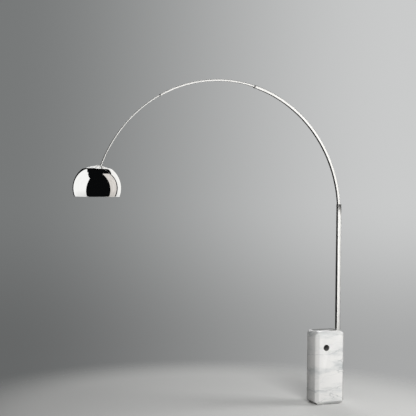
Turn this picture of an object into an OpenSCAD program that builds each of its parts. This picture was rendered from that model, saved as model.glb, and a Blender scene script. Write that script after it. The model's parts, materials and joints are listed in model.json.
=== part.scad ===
// Arc floor lamp: a bevelled stone block, a straight channel column, three nested
// curved channels that slide in one another, and a polished dome shade that rests
// on a perforated cap, so that it can turn and tip.
// Origin: centre of the block's underside. +X: away from the shade. +Z: up.

/* [Stone base] */
// Length of the block along the arc's plane
stone_l = 240; // [200:5:300]
// Thickness of the block
stone_w = 180; // [150:5:220]
// Height of the block's top above the floor
stone_top = 550; // [500:10:600]
// Width of the 45 degree bevel on every edge
stone_bevel = 25; // [10:1:30]
// Thickness of the felt sheet under the block
felt_t = 2; // [1:0.5:4]
// Diameter of the lifting hole
lift_d = 46; // [30:1:60]
// Distance of the lifting hole from the block's middle, towards the shade
lift_x = -38; // [-60:1:-20]
// Height of the lifting hole above the floor
lift_z = 429; // [380:1:450]
// Height of the groove's floor, where the column stands
groove_z = 200; // [100:10:300]

/* [Column] */
// Side of the square column
column_s = 30; // [26:1:34]
// Wall of the column
column_t = 1.5; // [1:0.1:2]
// Width of the slot down the column's inner face
column_slot = 12; // [8:1:16]
// Distance of the column's middle from the block's middle
column_x = 102.5; // [95:0.5:104]
// Height of the column's mouth
column_top = 1500; // [1300:10:1600]

/* [Arc] */
// Distance of the arc's centre from the block's middle
arc_x = -860; // [-862:0.5:-860]
// Height of the arc's centre
arc_z = 1430; // [1400:5:1440]
// Outer radius of the lower section
lower_r = 972; // [971:0.5:973]
// Radial depth of the lower section
lower_h = 20; // [18:1:22]
// Width of the lower section
lower_w = 24; // [22:1:25]
// Wall of the lower section
lower_t = 1.5; // [1:0.1:1.6]
// Radial depth of the middle section
middle_h = 13; // [12:0.5:14]
// Width of the middle section
middle_w = 18; // [17:0.5:19]
// Wall of the middle and tip sections
slim_t = 1.2; // [0.8:0.1:1.3]
// Radial depth of the tip section
tip_h = 9; // [8.5:0.5:9.5]
// Width of the tip section
tip_w = 12; // [11:0.5:13]
// Angle of the lower section's mouth, from the top of the arc towards the column
lower_end = 15; // [10:1:20]
// Angle of the middle section's mouth
middle_end = -30; // [-35:1:-25]
// Angle of the tip's end, inside the cap
tip_end = -71.9; // [-72.2:0.1:-71]
// Length of a section that stays inside the next one, in degrees
overlap = 8; // [7:0.5:10]
// Height of the lower section's straight foot, inside the column
foot_z = 1250; // [1200:10:1350]

/* [Shade] */
// Distance of the shade's axis from the block's middle
head_x = -1792; // [-1794:1:-1788]
// Height of the shade's widest circle
head_z = 1610; // [1605:1:1615]
// Radius of the shade's widest circle
dome_r = 166; // [160:1:170]
// Wall of the spun shade
dome_t = 1.2; // [0.8:0.1:1.6]
// Depth of the rim below the widest circle
rim_drop = 57; // [40:1:65]
// Radius of the shade's flatter crown
crown_r = 350; // [300:10:400]
// Height of the crown's pole above the widest circle
crown_rise = 146.9; // [146:0.1:148]
// Radius that blends the crown into the side
shoulder_r = 25; // [15:1:30]
// Radius of the opening in the crown
mouth_r = 84; // [80:1:88]
// Radius of the perforated cap's sphere
cap_r = 171; // [168:1:172]
// Wall of the cap
cap_t = 1.5; // [1:0.1:2]
// Height of the cap's pole above the shade's widest circle
cap_rise = 155; // [154:0.5:156]
// Diameter of a vent hole
vent_d = 13; // [8:0.5:14]

/* [Lamp holder and bulb] */
// Underside of the head bracket above the shade's widest circle
bracket_h = 104; // [102:1:108]
// Radius of the holder's barrel
barrel_r = 20; // [19:0.5:22]
// Radius of the bulb's glass
glass_r = 30; // [25:1:32]
// Height of the bulb's middle above the shade's widest circle
glass_h = 2; // [0:1:4]
// Radius of the bulb's screw cap
screw_cap_r = 13.2; // [13:0.05:13.3]
// Diameter of the lead inside the tubes
lead_d = 3; // [2:0.1:3.2]

/* [Hidden] */

$fn = 64;
arc_fn = 360;    // facets of the large arcs
eps = 1;         // overshoot of a cutting shape
gap = 0.3;       // between pieces that slide past each other
run = 0.06;      // radial play of a screw in its hole

// Column and its fixing
column_in = column_x - column_s / 2;
column_out = column_x + column_s / 2;
cavity_in = column_in + column_t;
cavity_out = column_out - column_t;
bolt_z = [280, 360];
bolt_r = 4;
bolt_head_r = 6.5;
bolt_head_h = 6;
foot_plate_t = 4;
washer_t = 1.6;
anchor_r = 7;
anchor_l = 42;
access_r = 8;
grommet_z = 222;
grommet_r = 4;
lock_z = column_top - 22;
lock_r = 3;

// Arc sections, each just inside the one before
middle_r = lower_r - lower_t - 0.5;
tip_r = middle_r - slim_t - 0.4;
middle_start = lower_end + overlap;
tip_start = middle_end + overlap;
guide_a = 3.5;                       // length of the guide in a mouth, in degrees
slide_play = 0.03;                   // between a guide and the glide that stops on it, in degrees
middle_lock_a = lower_end + 1.7;
tip_lock_a = middle_end + 1.7;
slim_lock_r = 2;
lead_r = tip_r - tip_h / 2;
lead_y = 2.3;
lead_drop = 15.6;                    // where the lead goes down into the holder, from the shade's axis

// Shade: the crown, the shoulder and the side are tangent arcs
crown_c = crown_rise - crown_r;
inner_side = dome_r - shoulder_r;
inner_crown = crown_r - shoulder_r;
shoulder_z = (inner_crown * inner_crown - inner_side * inner_side - crown_c * crown_c) / (-2 * crown_c);
shoulder_x = sqrt(inner_side * inner_side - shoulder_z * shoulder_z);
cap_c = cap_rise - cap_r;
cap_edge = 40;                       // half angle of the cap
seat_a = [36.5, 38.5];               // half angles of the felt seat
neck_a = [30.5, 44.5];               // half angles of the neck under the crown
seat_r = [cap_r + gap, cap_r + 1.5];
neck_r = [seat_r[1] + gap, seat_r[1] + 1.6];
vent_rings = [[18, 4, 45], [38, 9, 20], [59, 14, 16], [80, 20, 2]]; // radius, count, first

// Holder and bulb, heights above the shade's widest circle
bracket_t = 3;
nipple_r = 5;
nipple_bore = 3.4;
cover_top = bracket_h;
cover_h = 22;
barrel_top = cover_top - cover_h;
barrel_h = 37;
neck_in = 12.6;
fillet_r = 22;
glass_t = 0.8;
fillet_dx = neck_in + fillet_r;
fillet_dz = sqrt((glass_r + fillet_r) * (glass_r + fillet_r) - fillet_dx * fillet_dx);
neck_top = 62;
screw_cap_z = [49, 66];

// Colours
stone = "gainsboro";
steel = "silver";
bright = "lightgray";
zinc = "darkgray";
brass = "goldenrod";
nylon = "dimgray";
felt = "darkslategray";

// ---- shared shapes -------------------------------------------------------------

module rounded_rect(x, y, r) {
    translate([r, 0])
        square([x - 2 * r, y]);
    translate([0, r])
        square([x, y - 2 * r]);
    for (cx = [r, x - r], cy = [r, y - r])
        translate([cx, cy])
            circle(r, $fn = 24);
}

// A lipped channel with its back at x = 0 and its slot facing -x
module channel(depth, width, wall, slot, corner) {
    difference() {
        translate([-depth, -width / 2])
            rounded_rect(depth, width, corner);
        translate([wall - depth, wall - width / 2])
            rounded_rect(depth - 2 * wall, width - 2 * wall, corner - wall);
        translate([-depth - eps, -slot / 2])
            square([wall + 2 * eps, slot]);
    }
}

// Sweep a profile (x is the radius, y is the lamp's Y) round the arc's centre, between two
// angles that are measured from the top of the arc towards +X
module on_arc(a0, a1) {
    translate([arc_x, 0, arc_z])
        rotate([0, -90, -90])
            rotate_extrude(angle = a1 - a0, start = a0, $fn = arc_fn)
                children();
}

// Place a child on the arc, its Z along the lamp's Y
module beside_arc(r, a) {
    translate([arc_x + r * sin(a), 0, arc_z + r * cos(a)])
        rotate([-90, 0, 0])
            children();
}

module at_head(h = 0) {
    translate([head_x, 0, head_z + h])
        children();
}

// Two strips and a floor round a section, open towards its back: radii r0 to r1, half width w,
// less the section's own envelope
module shoe(r0, r1, w, hole_r0, hole_w, corner) {
    difference() {
        translate([r0, -w])
            rounded_rect(r1 - r0, 2 * w, corner);
        translate([hole_r0, -hole_w])
            square([r1 - hole_r0 + eps, 2 * hole_w]);
    }
}

// A screw along +Z: its tip at z = tip, the underside of its low head at z = face
module low_screw(r, tip, face, head_r, head_h) {
    difference() {
        union() {
            translate([0, 0, tip])
                cylinder(h = face - tip + 0.1, r = r);
            translate([0, 0, face])
                cylinder(h = head_h, r = head_r);
        }
        translate([0, 0, face + head_h * 0.4])
            cylinder(h = head_h, r = head_r * 0.45, $fn = 6);
    }
}

module hex_nut(z, h, across, bore) {
    translate([0, 0, z])
        difference() {
            cylinder(h = h, r = across / sqrt(3), $fn = 6);
            translate([0, 0, -eps])
                cylinder(h = h + 2 * eps, r = bore);
        }
}

module tube(z, h, r, bore) {
    translate([0, 0, z])
        difference() {
            cylinder(h = h, r = r);
            translate([0, 0, -eps])
                cylinder(h = h + 2 * eps, r = bore);
        }
}

// Half plane region between two half angles seen from the cap's centre, in profile
module sector(a, r) {
    translate([0, cap_c])
        polygon([
            [r[0] * 0.5 * sin(a[0]), r[0] * 0.5 * cos(a[0])],
            [r[1] * 1.2 * sin(a[0]), r[1] * 1.2 * cos(a[0])],
            [r[1] * 1.2 * sin(a[1]), r[1] * 1.2 * cos(a[1])],
            [r[0] * 0.5 * sin(a[1]), r[0] * 0.5 * cos(a[1])]
        ]);
}

// A slice of a spherical shell round the cap's centre, in profile
module zone(r, a) {
    intersection() {
        translate([0, cap_c])
            difference() {
                circle(r[1], $fn = arc_fn);
                circle(r[0], $fn = arc_fn);
            }
        sector(a, r);
    }
}

// Upright run of the lead between two heights
module lead_up(x, y, z0, z1) {
    translate([x, y, z0])
        cylinder(h = z1 - z0, d = lead_d, $fn = 32);
}

// ---- stone base ----------------------------------------------------------------

module bevelled(x, y) {
    c = stone_bevel;
    polygon([
        [-x + c, -y], [x - c, -y], [x, -y + c], [x, y - c],
        [x - c, y], [-x + c, y], [-x, y - c], [-x, -y + c]
    ]);
}

module stone_base() {
    x = stone_l / 2;
    y = stone_w / 2;
    z = (stone_top - felt_t) / 2;
    middle = felt_t + z;
    mouth = 1.5;
    color(stone)
        difference() {
            intersection() {
                translate([0, 0, felt_t])
                    linear_extrude(2 * z)
                        bevelled(x, y);
                translate([0, y, middle])
                    rotate([90, 0, 0])
                        linear_extrude(2 * y)
                            bevelled(x, z);
                translate([-x, 0, middle])
                    rotate([90, 0, 90])
                        linear_extrude(2 * x)
                            bevelled(y, z);
            }
            translate([column_in, -column_s / 2 - 0.5, groove_z])
                cube([x, column_s + 1, stone_top]);
            translate([lift_x, y + eps, lift_z])
                rotate([90, 0, 0])
                    cylinder(h = 2 * y + 2 * eps, d = lift_d);
            for (side = [0, 1])
                mirror([0, side, 0])
                    translate([lift_x, -y - 0.01, lift_z])
                        rotate([-90, 0, 0])
                            cylinder(h = mouth, d1 = lift_d + 2 * mouth, d2 = lift_d);
            for (bz = bolt_z)
                translate([column_in - anchor_l - 1, 0, bz])
                    rotate([0, 90, 0])
                        cylinder(h = anchor_l + 2, r = anchor_r + 0.05);
        }
}

module base_felt() {
    inset = stone_bevel + 4;
    color(felt)
        translate([-stone_l / 2 + inset, -stone_w / 2 + inset, 0])
            linear_extrude(felt_t)
                rounded_rect(stone_l - 2 * inset, stone_w - 2 * inset, 6);
}

module stone_anchors() {
    color(zinc)
        for (bz = bolt_z)
            translate([column_in - anchor_l - 0.3, 0, bz])
                rotate([0, 90, 0])
                    tube(0, anchor_l, anchor_r, bolt_r + 0.02);
}

// ---- column --------------------------------------------------------------------

module column() {
    color(steel)
        difference() {
            translate([column_out, 0, groove_z])
                linear_extrude(column_top - groove_z)
                    channel(column_s, column_s, column_t, column_slot, 3);
            for (bz = bolt_z)
                translate([cavity_out - eps, 0, bz])
                    rotate([0, 90, 0])
                        cylinder(h = column_t + 2 * eps, r = access_r);
            translate([cavity_out - eps, lead_y, grommet_z])
                rotate([0, 90, 0])
                    cylinder(h = column_t + 2 * eps, r = grommet_r);
            translate([column_x, column_s / 2 - column_t - eps, lock_z])
                rotate([-90, 0, 0])
                    cylinder(h = column_t + 2 * eps, r = lock_r + run);
        }
}

module column_foot_plate() {
    half = column_s / 2 - column_t - 1.6;
    color(zinc)
        difference() {
            translate([cavity_in, -half, bolt_z[0] - 35])
                cube([foot_plate_t, 2 * half, bolt_z[1] - bolt_z[0] + 70]);
            for (bz = bolt_z)
                translate([cavity_in - eps, 0, bz])
                    rotate([0, 90, 0])
                        cylinder(h = foot_plate_t + 2 * eps, r = bolt_r + 0.3);
        }
}

module column_bolts() {
    under_head = cavity_in + foot_plate_t + washer_t;
    color(zinc)
        for (bz = bolt_z)
            translate([under_head, 0, bz])
                rotate([0, 90, 0])
                    difference() {
                        union() {
                            translate([0, 0, -50])
                                cylinder(h = 50.1, r = bolt_r);
                            cylinder(h = bolt_head_h, r = bolt_head_r);
                        }
                        translate([0, 0, bolt_head_h / 2])
                            cylinder(h = bolt_head_h, r = 3.4, $fn = 6);
                    }
}

module column_washers() {
    color(steel)
        for (bz = bolt_z)
            translate([cavity_in + foot_plate_t, 0, bz])
                rotate([0, 90, 0])
                    tube(0, washer_t, bolt_head_r, bolt_r + 0.2);
}

module column_access_plugs() {
    color(nylon)
        for (bz = bolt_z)
            translate([cavity_out, 0, bz])
                rotate([0, 90, 0]) {
                    cylinder(h = column_t, r = access_r - 0.02);
                    translate([0, 0, -1.2])
                        cylinder(h = 1.2, r = access_r + 1.5);
                }
}

module cable_grommet() {
    color(nylon)
        translate([cavity_out, lead_y, grommet_z])
            rotate([0, 90, 0])
                difference() {
                    union() {
                        translate([0, 0, -1.5])
                            cylinder(h = 1.5, r = grommet_r + 1.5);
                        cylinder(h = column_t, r = grommet_r - 0.02);
                        translate([0, 0, column_t])
                            cylinder(h = 1.5, r = grommet_r + 2);
                    }
                    translate([0, 0, -2 - eps])
                        cylinder(h = 8, r = lead_d / 2 + 0.05);
                }
}

// Wedge in the mouth: it fills the space behind and beside the curved section
module column_mouth_guide() {
    half = column_s / 2 - column_t - 0.2;
    start = column_x - 8;
    low = column_top - 60;
    color(nylon)
        difference() {
            translate([start, -half, low])
                linear_extrude(column_top - 0.5 - low)
                    rounded_rect(cavity_out - 0.2 - start, 2 * half, 1.5);
            on_arc(80, 92)
                translate([lower_r - lower_h - 0.2, -lower_w / 2 - 0.2])
                    square([lower_h + 0.4, lower_w + 0.4]);
            translate([column_x, 0, lock_z])
                rotate([-90, 0, 0])
                    cylinder(h = column_s, r = lock_r + run);
        }
}

module column_foot_guide() {
    half = column_s / 2 - column_t - 0.2;
    back = arc_x + lower_r;
    color(nylon)
        translate([0, 0, foot_z + 5])
            linear_extrude(35)
                difference() {
                    translate([cavity_in + 0.2, -half])
                        rounded_rect(cavity_out - cavity_in - 0.4, 2 * half, 1.5);
                    translate([back - lower_h - 0.2, -lower_w / 2 - 0.2])
                        square([lower_h + 0.4, lower_w + 0.4]);
                    translate([cavity_in - eps, -5])
                        square([6, 10]);
                }
}

module column_lock_screw() {
    color(zinc)
        translate([column_x, 0, lock_z])
            rotate([-90, 0, 0])
                low_screw(lock_r, lower_w / 2 + gap, column_s / 2 + gap, 5, 2.8);
}

// ---- arc -----------------------------------------------------------------------

module lower_profile() {
    channel(lower_h, lower_w, lower_t, 10, 2.5);
}

module lower_arc() {
    color(steel)
        difference() {
            union() {
                on_arc(lower_end, 90)
                    translate([lower_r, 0])
                        lower_profile();
                translate([arc_x + lower_r, 0, foot_z])
                    linear_extrude(arc_z - foot_z)
                        lower_profile();
            }
            beside_arc(lower_r - lower_h / 2, middle_lock_a)
                cylinder(h = lower_w, r = slim_lock_r + run);
        }
}

module lower_arc_guide() {
    inner = lower_r - lower_h + lower_t;
    color(nylon)
        difference() {
            on_arc(lower_end + 0.1, lower_end + guide_a)
                shoe(inner + 0.2, lower_r - lower_t - 0.3, lower_w / 2 - lower_t - 0.2,
                     middle_r - middle_h - gap, middle_w / 2 + gap, 1);
            beside_arc(lower_r - lower_h / 2, middle_lock_a)
                cylinder(h = lower_w, r = slim_lock_r + run);
        }
}

// From the grommet up the column, past the bolt heads, and along the lower section
module lower_lead() {
    x = arc_x + lead_r;
    bend = 8;
    color(nylon) {
        translate([x + bend, lead_y, grommet_z])
            rotate([0, 90, 0])
                cylinder(h = column_out - x - bend, d = lead_d, $fn = 32);
        translate([x + bend, lead_y, grommet_z + bend])
            rotate([90, 0, 0])
                rotate_extrude(start = 180, angle = 90)
                    translate([bend, 0])
                        circle(d = lead_d, $fn = 32);
        lead_up(x, lead_y, grommet_z + bend, arc_z);
        on_arc(middle_start - 1, 90)
            translate([lead_r, lead_y])
                circle(d = lead_d, $fn = 32);
    }
}

module middle_lock_screw() {
    color(zinc)
        beside_arc(lower_r - lower_h / 2, middle_lock_a)
            low_screw(slim_lock_r, middle_w / 2 + gap, lower_w / 2 + gap, 3.5, 2);
}

module middle_arc() {
    color(steel)
        difference() {
            on_arc(middle_end, middle_start)
                translate([middle_r, 0])
                    channel(middle_h, middle_w, slim_t, 8, 2);
            beside_arc(middle_r - middle_h / 2, tip_lock_a)
                cylinder(h = middle_w, r = slim_lock_r + run);
        }
}

// Shoe on the inner end of the middle section; it runs inside the lower section and stops
// against the guide in the mouth
module middle_arc_glide() {
    inner = lower_r - lower_h + lower_t;
    color(nylon)
        on_arc(lower_end + guide_a + slide_play, middle_start - 0.2)
            shoe(inner + gap, middle_r - 1, lower_w / 2 - lower_t - gap,
                 middle_r - middle_h - 0.05, middle_w / 2 + 0.05, 0.8);
}

module middle_arc_guide() {
    inner = middle_r - middle_h + slim_t;
    color(nylon)
        difference() {
            on_arc(middle_end + 0.1, middle_end + guide_a)
                shoe(inner + 0.1, middle_r - slim_t - 0.3, middle_w / 2 - slim_t - 0.2,
                     tip_r - tip_h - gap, tip_w / 2 + gap, 0.5);
            beside_arc(middle_r - middle_h / 2, tip_lock_a)
                cylinder(h = middle_w, r = slim_lock_r + run);
        }
}

module middle_lead() {
    color(nylon)
        on_arc(tip_start - 0.5, middle_start - 0.5)
            translate([lead_r, -lead_y])
                circle(d = lead_d, $fn = 32);
}

module tip_lock_screw() {
    color(zinc)
        beside_arc(middle_r - middle_h / 2, tip_lock_a)
            low_screw(slim_lock_r, tip_w / 2 + gap, middle_w / 2 + gap, 3.2, 1.8);
}

module tip_arc() {
    color(steel)
        on_arc(tip_end, tip_start)
            translate([tip_r, 0])
                channel(tip_h, tip_w, slim_t, 5, 2);
}

module tip_arc_glide() {
    inner = middle_r - middle_h + slim_t;
    color(nylon)
        on_arc(middle_end + guide_a + slide_play, tip_start - 0.2)
            shoe(inner + gap, tip_r - 1, middle_w / 2 - slim_t - gap,
                 tip_r - tip_h - 0.05, tip_w / 2 + 0.05, 0.5);
}

// Along the tip section, out of its end and down into the holder's cover
module tip_lead() {
    color(nylon) {
        on_arc(tip_end - 0.2, tip_start - 0.5)
            translate([lead_r, lead_y])
                circle(d = lead_d, $fn = 32);
        lead_up(head_x + lead_drop, lead_y, head_z + cover_top - 12, head_z + 118);
    }
}

// ---- head bracket and cap --------------------------------------------------------

// Block inside the tip's end, with a foot that stands on the bracket
module tip_plug() {
    clear = 0.3;
    low_y = clear + slim_t - tip_w / 2;
    color(zinc) {
        on_arc(tip_end + 0.01, tip_end + 2)
            translate([tip_r - tip_h + slim_t + clear, low_y])
                square([tip_h - 2 * slim_t - 2 * clear, -low_y + 0.3]);
        translate([head_x + 11.5, low_y, head_z + bracket_h + bracket_t])
            cube([7, -low_y + 0.3, 12.8]);
    }
}

module head_bracket() {
    half = 11;
    color(zinc)
        at_head(bracket_h)
            difference() {
                translate([-half, -half, 0])
                    cube([2 * half + 9, 2 * half, bracket_t]);
                translate([9, 0.6, -eps])
                    cube([30, 30, bracket_t + 2 * eps]);
                translate([0, 0, -eps])
                    cylinder(h = bracket_t + 2 * eps, r = nipple_r + 0.05);
            }
}

module bracket_nut() {
    color(zinc)
        at_head()
            hex_nut(bracket_h + bracket_t, 4, 14, nipple_r + 0.02);
}

module cap_spacer() {
    color(zinc)
        at_head()
            intersection() {
                tube(bracket_h + bracket_t + 4, 60, 7, nipple_r + 0.05);
                translate([0, 0, cap_c])
                    sphere(cap_r - cap_t - 0.06, $fn = 180);
            }
}

module vent(r, a) {
    tilt = asin(r / cap_r);
    translate([0, 0, cap_c])
        rotate([0, tilt, a])
            translate([0, 0, cap_r - 12])
                cylinder(h = 24, d = vent_d, $fn = 32);
}

// Spherical cap with rings of vent holes and a slot for the arc
module shade_cap() {
    slot_x = 27.8;
    color(bright)
        at_head()
            difference() {
                rotate_extrude($fn = 180)
                    intersection() {
                        zone([cap_r - cap_t, cap_r], [-1, cap_edge]);
                        square([dome_r, dome_r]);
                    }
                translate([0, 0, cap_c])
                    cylinder(h = 2 * cap_r, r = nipple_r + 0.05);
                translate([slot_x - 8, -tip_w / 2 - 1, cap_rise - 30])
                    cube([16, tip_w + 2, 60]);
                for (ring = vent_rings)
                    for (i = [0 : ring[1] - 1]) {
                        a = ring[2] + i * 360 / ring[1];
                        apart = norm([ring[0] * cos(a) - slot_x, ring[0] * sin(a)]);
                        if (apart > 20)
                            vent(ring[0], a);
                    }
            }
}

module cap_nut() {
    color(bright)
        at_head(cap_rise)
            difference() {
                intersection() {
                    translate([0, 0, -0.05])
                        cylinder(h = 3.2, r = 8.5);
                    translate([0, 0, -16.5])
                        sphere(20, $fn = 96);
                }
                translate([0, 0, -eps])
                    cylinder(h = 2.6, r = nipple_r + 0.02);
            }
}

// ---- shade ---------------------------------------------------------------------

module shade_seat() {
    color(felt)
        at_head()
            rotate_extrude($fn = 180)
                zone(seat_r, seat_a);
}

// Area inside the dome's outline, taken in by a wall
module dome_area(wall) {
    far = 400;
    intersection() {
        circle(dome_r - wall, $fn = arc_fn);
        polygon([[0, 0], [shoulder_x * 3, shoulder_z * 3], [far, 0], [far, -far], [0, -far]]);
    }
    intersection() {
        translate([0, crown_c])
            circle(crown_r - wall, $fn = arc_fn);
        polygon([
            [0, crown_c],
            [shoulder_x * 1.5, crown_c + (shoulder_z - crown_c) * 1.5],
            [0, far]
        ]);
    }
    translate([shoulder_x, shoulder_z])
        circle(shoulder_r - wall, $fn = 96);
}

module reflector() {
    rim_r = sqrt(dome_r * dome_r - rim_drop * rim_drop);
    bead = 1.8;
    color(bright)
        at_head()
            rotate_extrude($fn = 180) {
                intersection() {
                    difference() {
                        dome_area(0);
                        dome_area(dome_t);
                    }
                    union() {
                        translate([mouth_r, 0])
                            square([dome_r, dome_r]);
                        translate([20, -rim_drop])
                            square([dome_r, rim_drop + 1]);
                    }
                }
                translate([rim_r, -rim_drop])
                    circle(bead, $fn = 32);
            }
}

// Ring under the crown: it carries the shade on the seat
module reflector_neck() {
    color(zinc)
        at_head()
            rotate_extrude($fn = 180) {
                zone(neck_r, neck_a);
                intersection() {
                    translate([neck_r[0] * sin(neck_a[0]), 0])
                        square([3.5, dome_r]);
                    dome_area(dome_t + 0.03);
                    translate([0, cap_c])
                        difference() {
                            circle(cap_r + 20, $fn = arc_fn);
                            circle(neck_r[0], $fn = arc_fn);
                        }
                }
            }
}

// ---- lamp holder ---------------------------------------------------------------

module holder_nipple() {
    low = cover_top - 12;
    color(brass)
        at_head()
            tube(low, cap_rise + 1 - low, nipple_r, nipple_bore);
}

module holder_nut() {
    color(zinc)
        at_head()
            hex_nut(cover_top - 2.5 - 4, 4, 14, nipple_r + 0.02);
}

module holder_cover() {
    color(nylon)
        at_head(barrel_top)
            difference() {
                cylinder(h = cover_h, r = barrel_r + 1);
                translate([0, 0, -eps])
                    cylinder(h = cover_h - 2.5 + eps, r = barrel_r - 1);
                cylinder(h = cover_h + eps, r = nipple_r + 0.05);
                translate([lead_drop, lead_y, 0])
                    cylinder(h = cover_h + eps, r = lead_d / 2 + 0.3);
            }
}

module holder_barrel() {
    color(nylon)
        at_head()
            tube(barrel_top - barrel_h, barrel_h, barrel_r, barrel_r - 2);
}

module holder_ring() {
    color(nylon)
        at_head(barrel_top - barrel_h + 6)
            difference() {
                union() {
                    cylinder(h = 10, r = barrel_r + 2.5);
                    cylinder(h = 3, r = barrel_r + 5);
                }
                translate([0, 0, -eps])
                    cylinder(h = 20, r = barrel_r + 0.05);
            }
}

module holder_core() {
    color("white")
        at_head(barrel_top - 8)
            difference() {
                cylinder(h = 7.5, r = barrel_r - 2.1);
                for (side = [-1, 1])
                    translate([0, side * 9, -eps])
                        cylinder(h = 20, r = 2);
            }
}

module holder_thread() {
    color(brass)
        at_head()
            tube(screw_cap_z[0] - 1, barrel_top - 8 - screw_cap_z[0] + 1, screw_cap_r + 1.1,
                 screw_cap_r + 0.4);
}

module holder_contact() {
    color(brass)
        at_head(barrel_top - 8 - 4)
            cylinder(h = 4, r1 = 3, r2 = 5);
}

// ---- bulb ----------------------------------------------------------------------

// Area inside the bulb's outline, taken in by a wall
module bulb_area(wall) {
    tangent = glass_r / (glass_r + fillet_r);
    difference() {
        union() {
            circle(glass_r - wall, $fn = 96);
            difference() {
                translate([0, fillet_dz * tangent])
                    square([fillet_dx * tangent, fillet_dz * (1 - tangent)]);
                translate([fillet_dx, fillet_dz])
                    circle(fillet_r + wall, $fn = 96);
            }
            translate([0, fillet_dz - 0.01])
                square([neck_in - wall, neck_top - fillet_dz]);
        }
        translate([-2 * glass_r, -glass_r - eps])
            square([2 * glass_r, 4 * glass_r]);
    }
}

module bulb_glass() {
    color("white", 0.5)
        at_head(glass_h)
            rotate_extrude($fn = 96)
                difference() {
                    bulb_area(0);
                    bulb_area(glass_t);
                    translate([0, neck_top - 2])
                        square([neck_in - glass_t, 10]);
                }
}

module bulb_cap() {
    color(brass)
        at_head()
            difference() {
                union() {
                    tube(screw_cap_z[0], screw_cap_z[1] - screw_cap_z[0], screw_cap_r,
                         neck_in + 0.05);
                    translate([0, 0, screw_cap_z[1]])
                        cylinder(h = 3, r1 = screw_cap_r, r2 = 8);
                }
                translate([0, 0, screw_cap_z[1] - eps])
                    cylinder(h = 10, r = 6);
            }
}

module bulb_insulator() {
    color("black")
        at_head(screw_cap_z[1] + 0.5)
            tube(0, 2.5, 5.95, 3);
}

module bulb_contact() {
    color(zinc)
        at_head(screw_cap_z[1] + 0.5)
            union() {
                cylinder(h = 2.5, r = 2.95);
                translate([0, 0, 2.5])
                    cylinder(h = 0.7, r = 4);
            }
}

// Glass foot with a pumping tube, standing in the neck
module bulb_stem() {
    color("white", 0.5)
        at_head(glass_h) {
            translate([0, 0, neck_top - 4])
                cylinder(h = 2, r = neck_in - glass_t - 0.1);
            translate([0, 0, 26])
                cylinder(h = neck_top - 4 - 26 + 0.1, r1 = 3, r2 = 7);
            translate([0, 0, 8])
                cylinder(h = 18.1, r = 1.5, $fn = 32);
        }
}

// Filament ring on two support wires
module bulb_filament() {
    ring = 12;
    coil = 0.7;
    wire = 0.4;
    color(zinc)
        at_head(glass_h + 14) {
            rotate_extrude(angle = 300, $fn = 64)
                translate([ring, 0])
                    circle(coil, $fn = 24);
            for (a = [10, 290])
                rotate([0, 0, a])
                    translate([ring, 0, 0])
                        rotate([0, -34, 0])
                            cylinder(h = 15.2, r = wire, $fn = 24);
        }
}

// ---- assembly ------------------------------------------------------------------

stone_base();
base_felt();
stone_anchors();
column();
column_foot_plate();
column_bolts();
column_washers();
column_access_plugs();
cable_grommet();
column_mouth_guide();
column_foot_guide();
column_lock_screw();
lower_arc();
lower_arc_guide();
lower_lead();
middle_lock_screw();
middle_arc();
middle_arc_glide();
middle_arc_guide();
middle_lead();
tip_lock_screw();
tip_arc();
tip_arc_glide();
tip_lead();
tip_plug();
head_bracket();
bracket_nut();
cap_spacer();
shade_cap();
cap_nut();
shade_seat();
reflector();
reflector_neck();
holder_nipple();
holder_nut();
holder_cover();
holder_barrel();
holder_ring();
holder_core();
holder_thread();
holder_contact();
bulb_glass();
bulb_cap();
bulb_insulator();
bulb_contact();
bulb_stem();
bulb_filament();
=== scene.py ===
"""Looks of an arc floor lamp: a bevelled marble block, a satin steel column, three arc
sections that slide in one another, and a mirror polished dome on a perforated cap.

Sizes are in millimetres, in the part's own frame; the studio is set out in metres.
"""

import json
import logging
import math
from collections.abc import Iterable, Sequence
from dataclasses import dataclass, field
from enum import Enum
from typing import Any

import bmesh
import bpy
import numpy as np
from mathutils import Matrix, Vector

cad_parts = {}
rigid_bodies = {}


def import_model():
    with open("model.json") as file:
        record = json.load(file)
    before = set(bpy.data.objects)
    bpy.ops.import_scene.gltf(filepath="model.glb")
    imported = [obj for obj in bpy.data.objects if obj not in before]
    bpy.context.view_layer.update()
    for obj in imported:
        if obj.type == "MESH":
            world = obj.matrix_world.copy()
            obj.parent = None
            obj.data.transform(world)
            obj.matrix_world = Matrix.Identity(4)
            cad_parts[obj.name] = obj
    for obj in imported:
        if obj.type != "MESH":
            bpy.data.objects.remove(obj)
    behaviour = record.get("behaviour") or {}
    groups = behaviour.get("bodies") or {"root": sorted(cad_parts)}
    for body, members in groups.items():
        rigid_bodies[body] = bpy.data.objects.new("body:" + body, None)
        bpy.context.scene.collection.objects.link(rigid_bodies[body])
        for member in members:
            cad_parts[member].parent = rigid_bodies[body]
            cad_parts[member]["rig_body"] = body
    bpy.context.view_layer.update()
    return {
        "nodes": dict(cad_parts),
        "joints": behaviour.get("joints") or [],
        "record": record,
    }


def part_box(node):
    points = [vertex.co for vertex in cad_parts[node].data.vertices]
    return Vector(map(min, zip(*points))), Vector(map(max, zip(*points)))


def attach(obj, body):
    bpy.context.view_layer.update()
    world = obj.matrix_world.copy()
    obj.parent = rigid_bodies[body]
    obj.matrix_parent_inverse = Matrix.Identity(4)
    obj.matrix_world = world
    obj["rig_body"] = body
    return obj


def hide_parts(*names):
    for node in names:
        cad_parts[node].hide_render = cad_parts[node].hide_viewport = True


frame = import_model()

log = logging.getLogger("arc_lamp")

MM = 0.001
FULL_TURN = 2 * math.pi
BULB_PITCH = 3.63  # millimetres; the usual screw of a large lamp cap
SMOOTH_BELOW = 30.0  # degrees; a sharper fold than this shows as an edge
SAME_POINT = 0.002  # millimetres; points nearer than this are joined
FILLET_STEP = 12.0  # degrees between the points of a rounded corner
MIX_FACTOR, MIX_A, MIX_B, MIXED = 0, 6, 7, 2  # sockets of a Mix node that mixes colours

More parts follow.
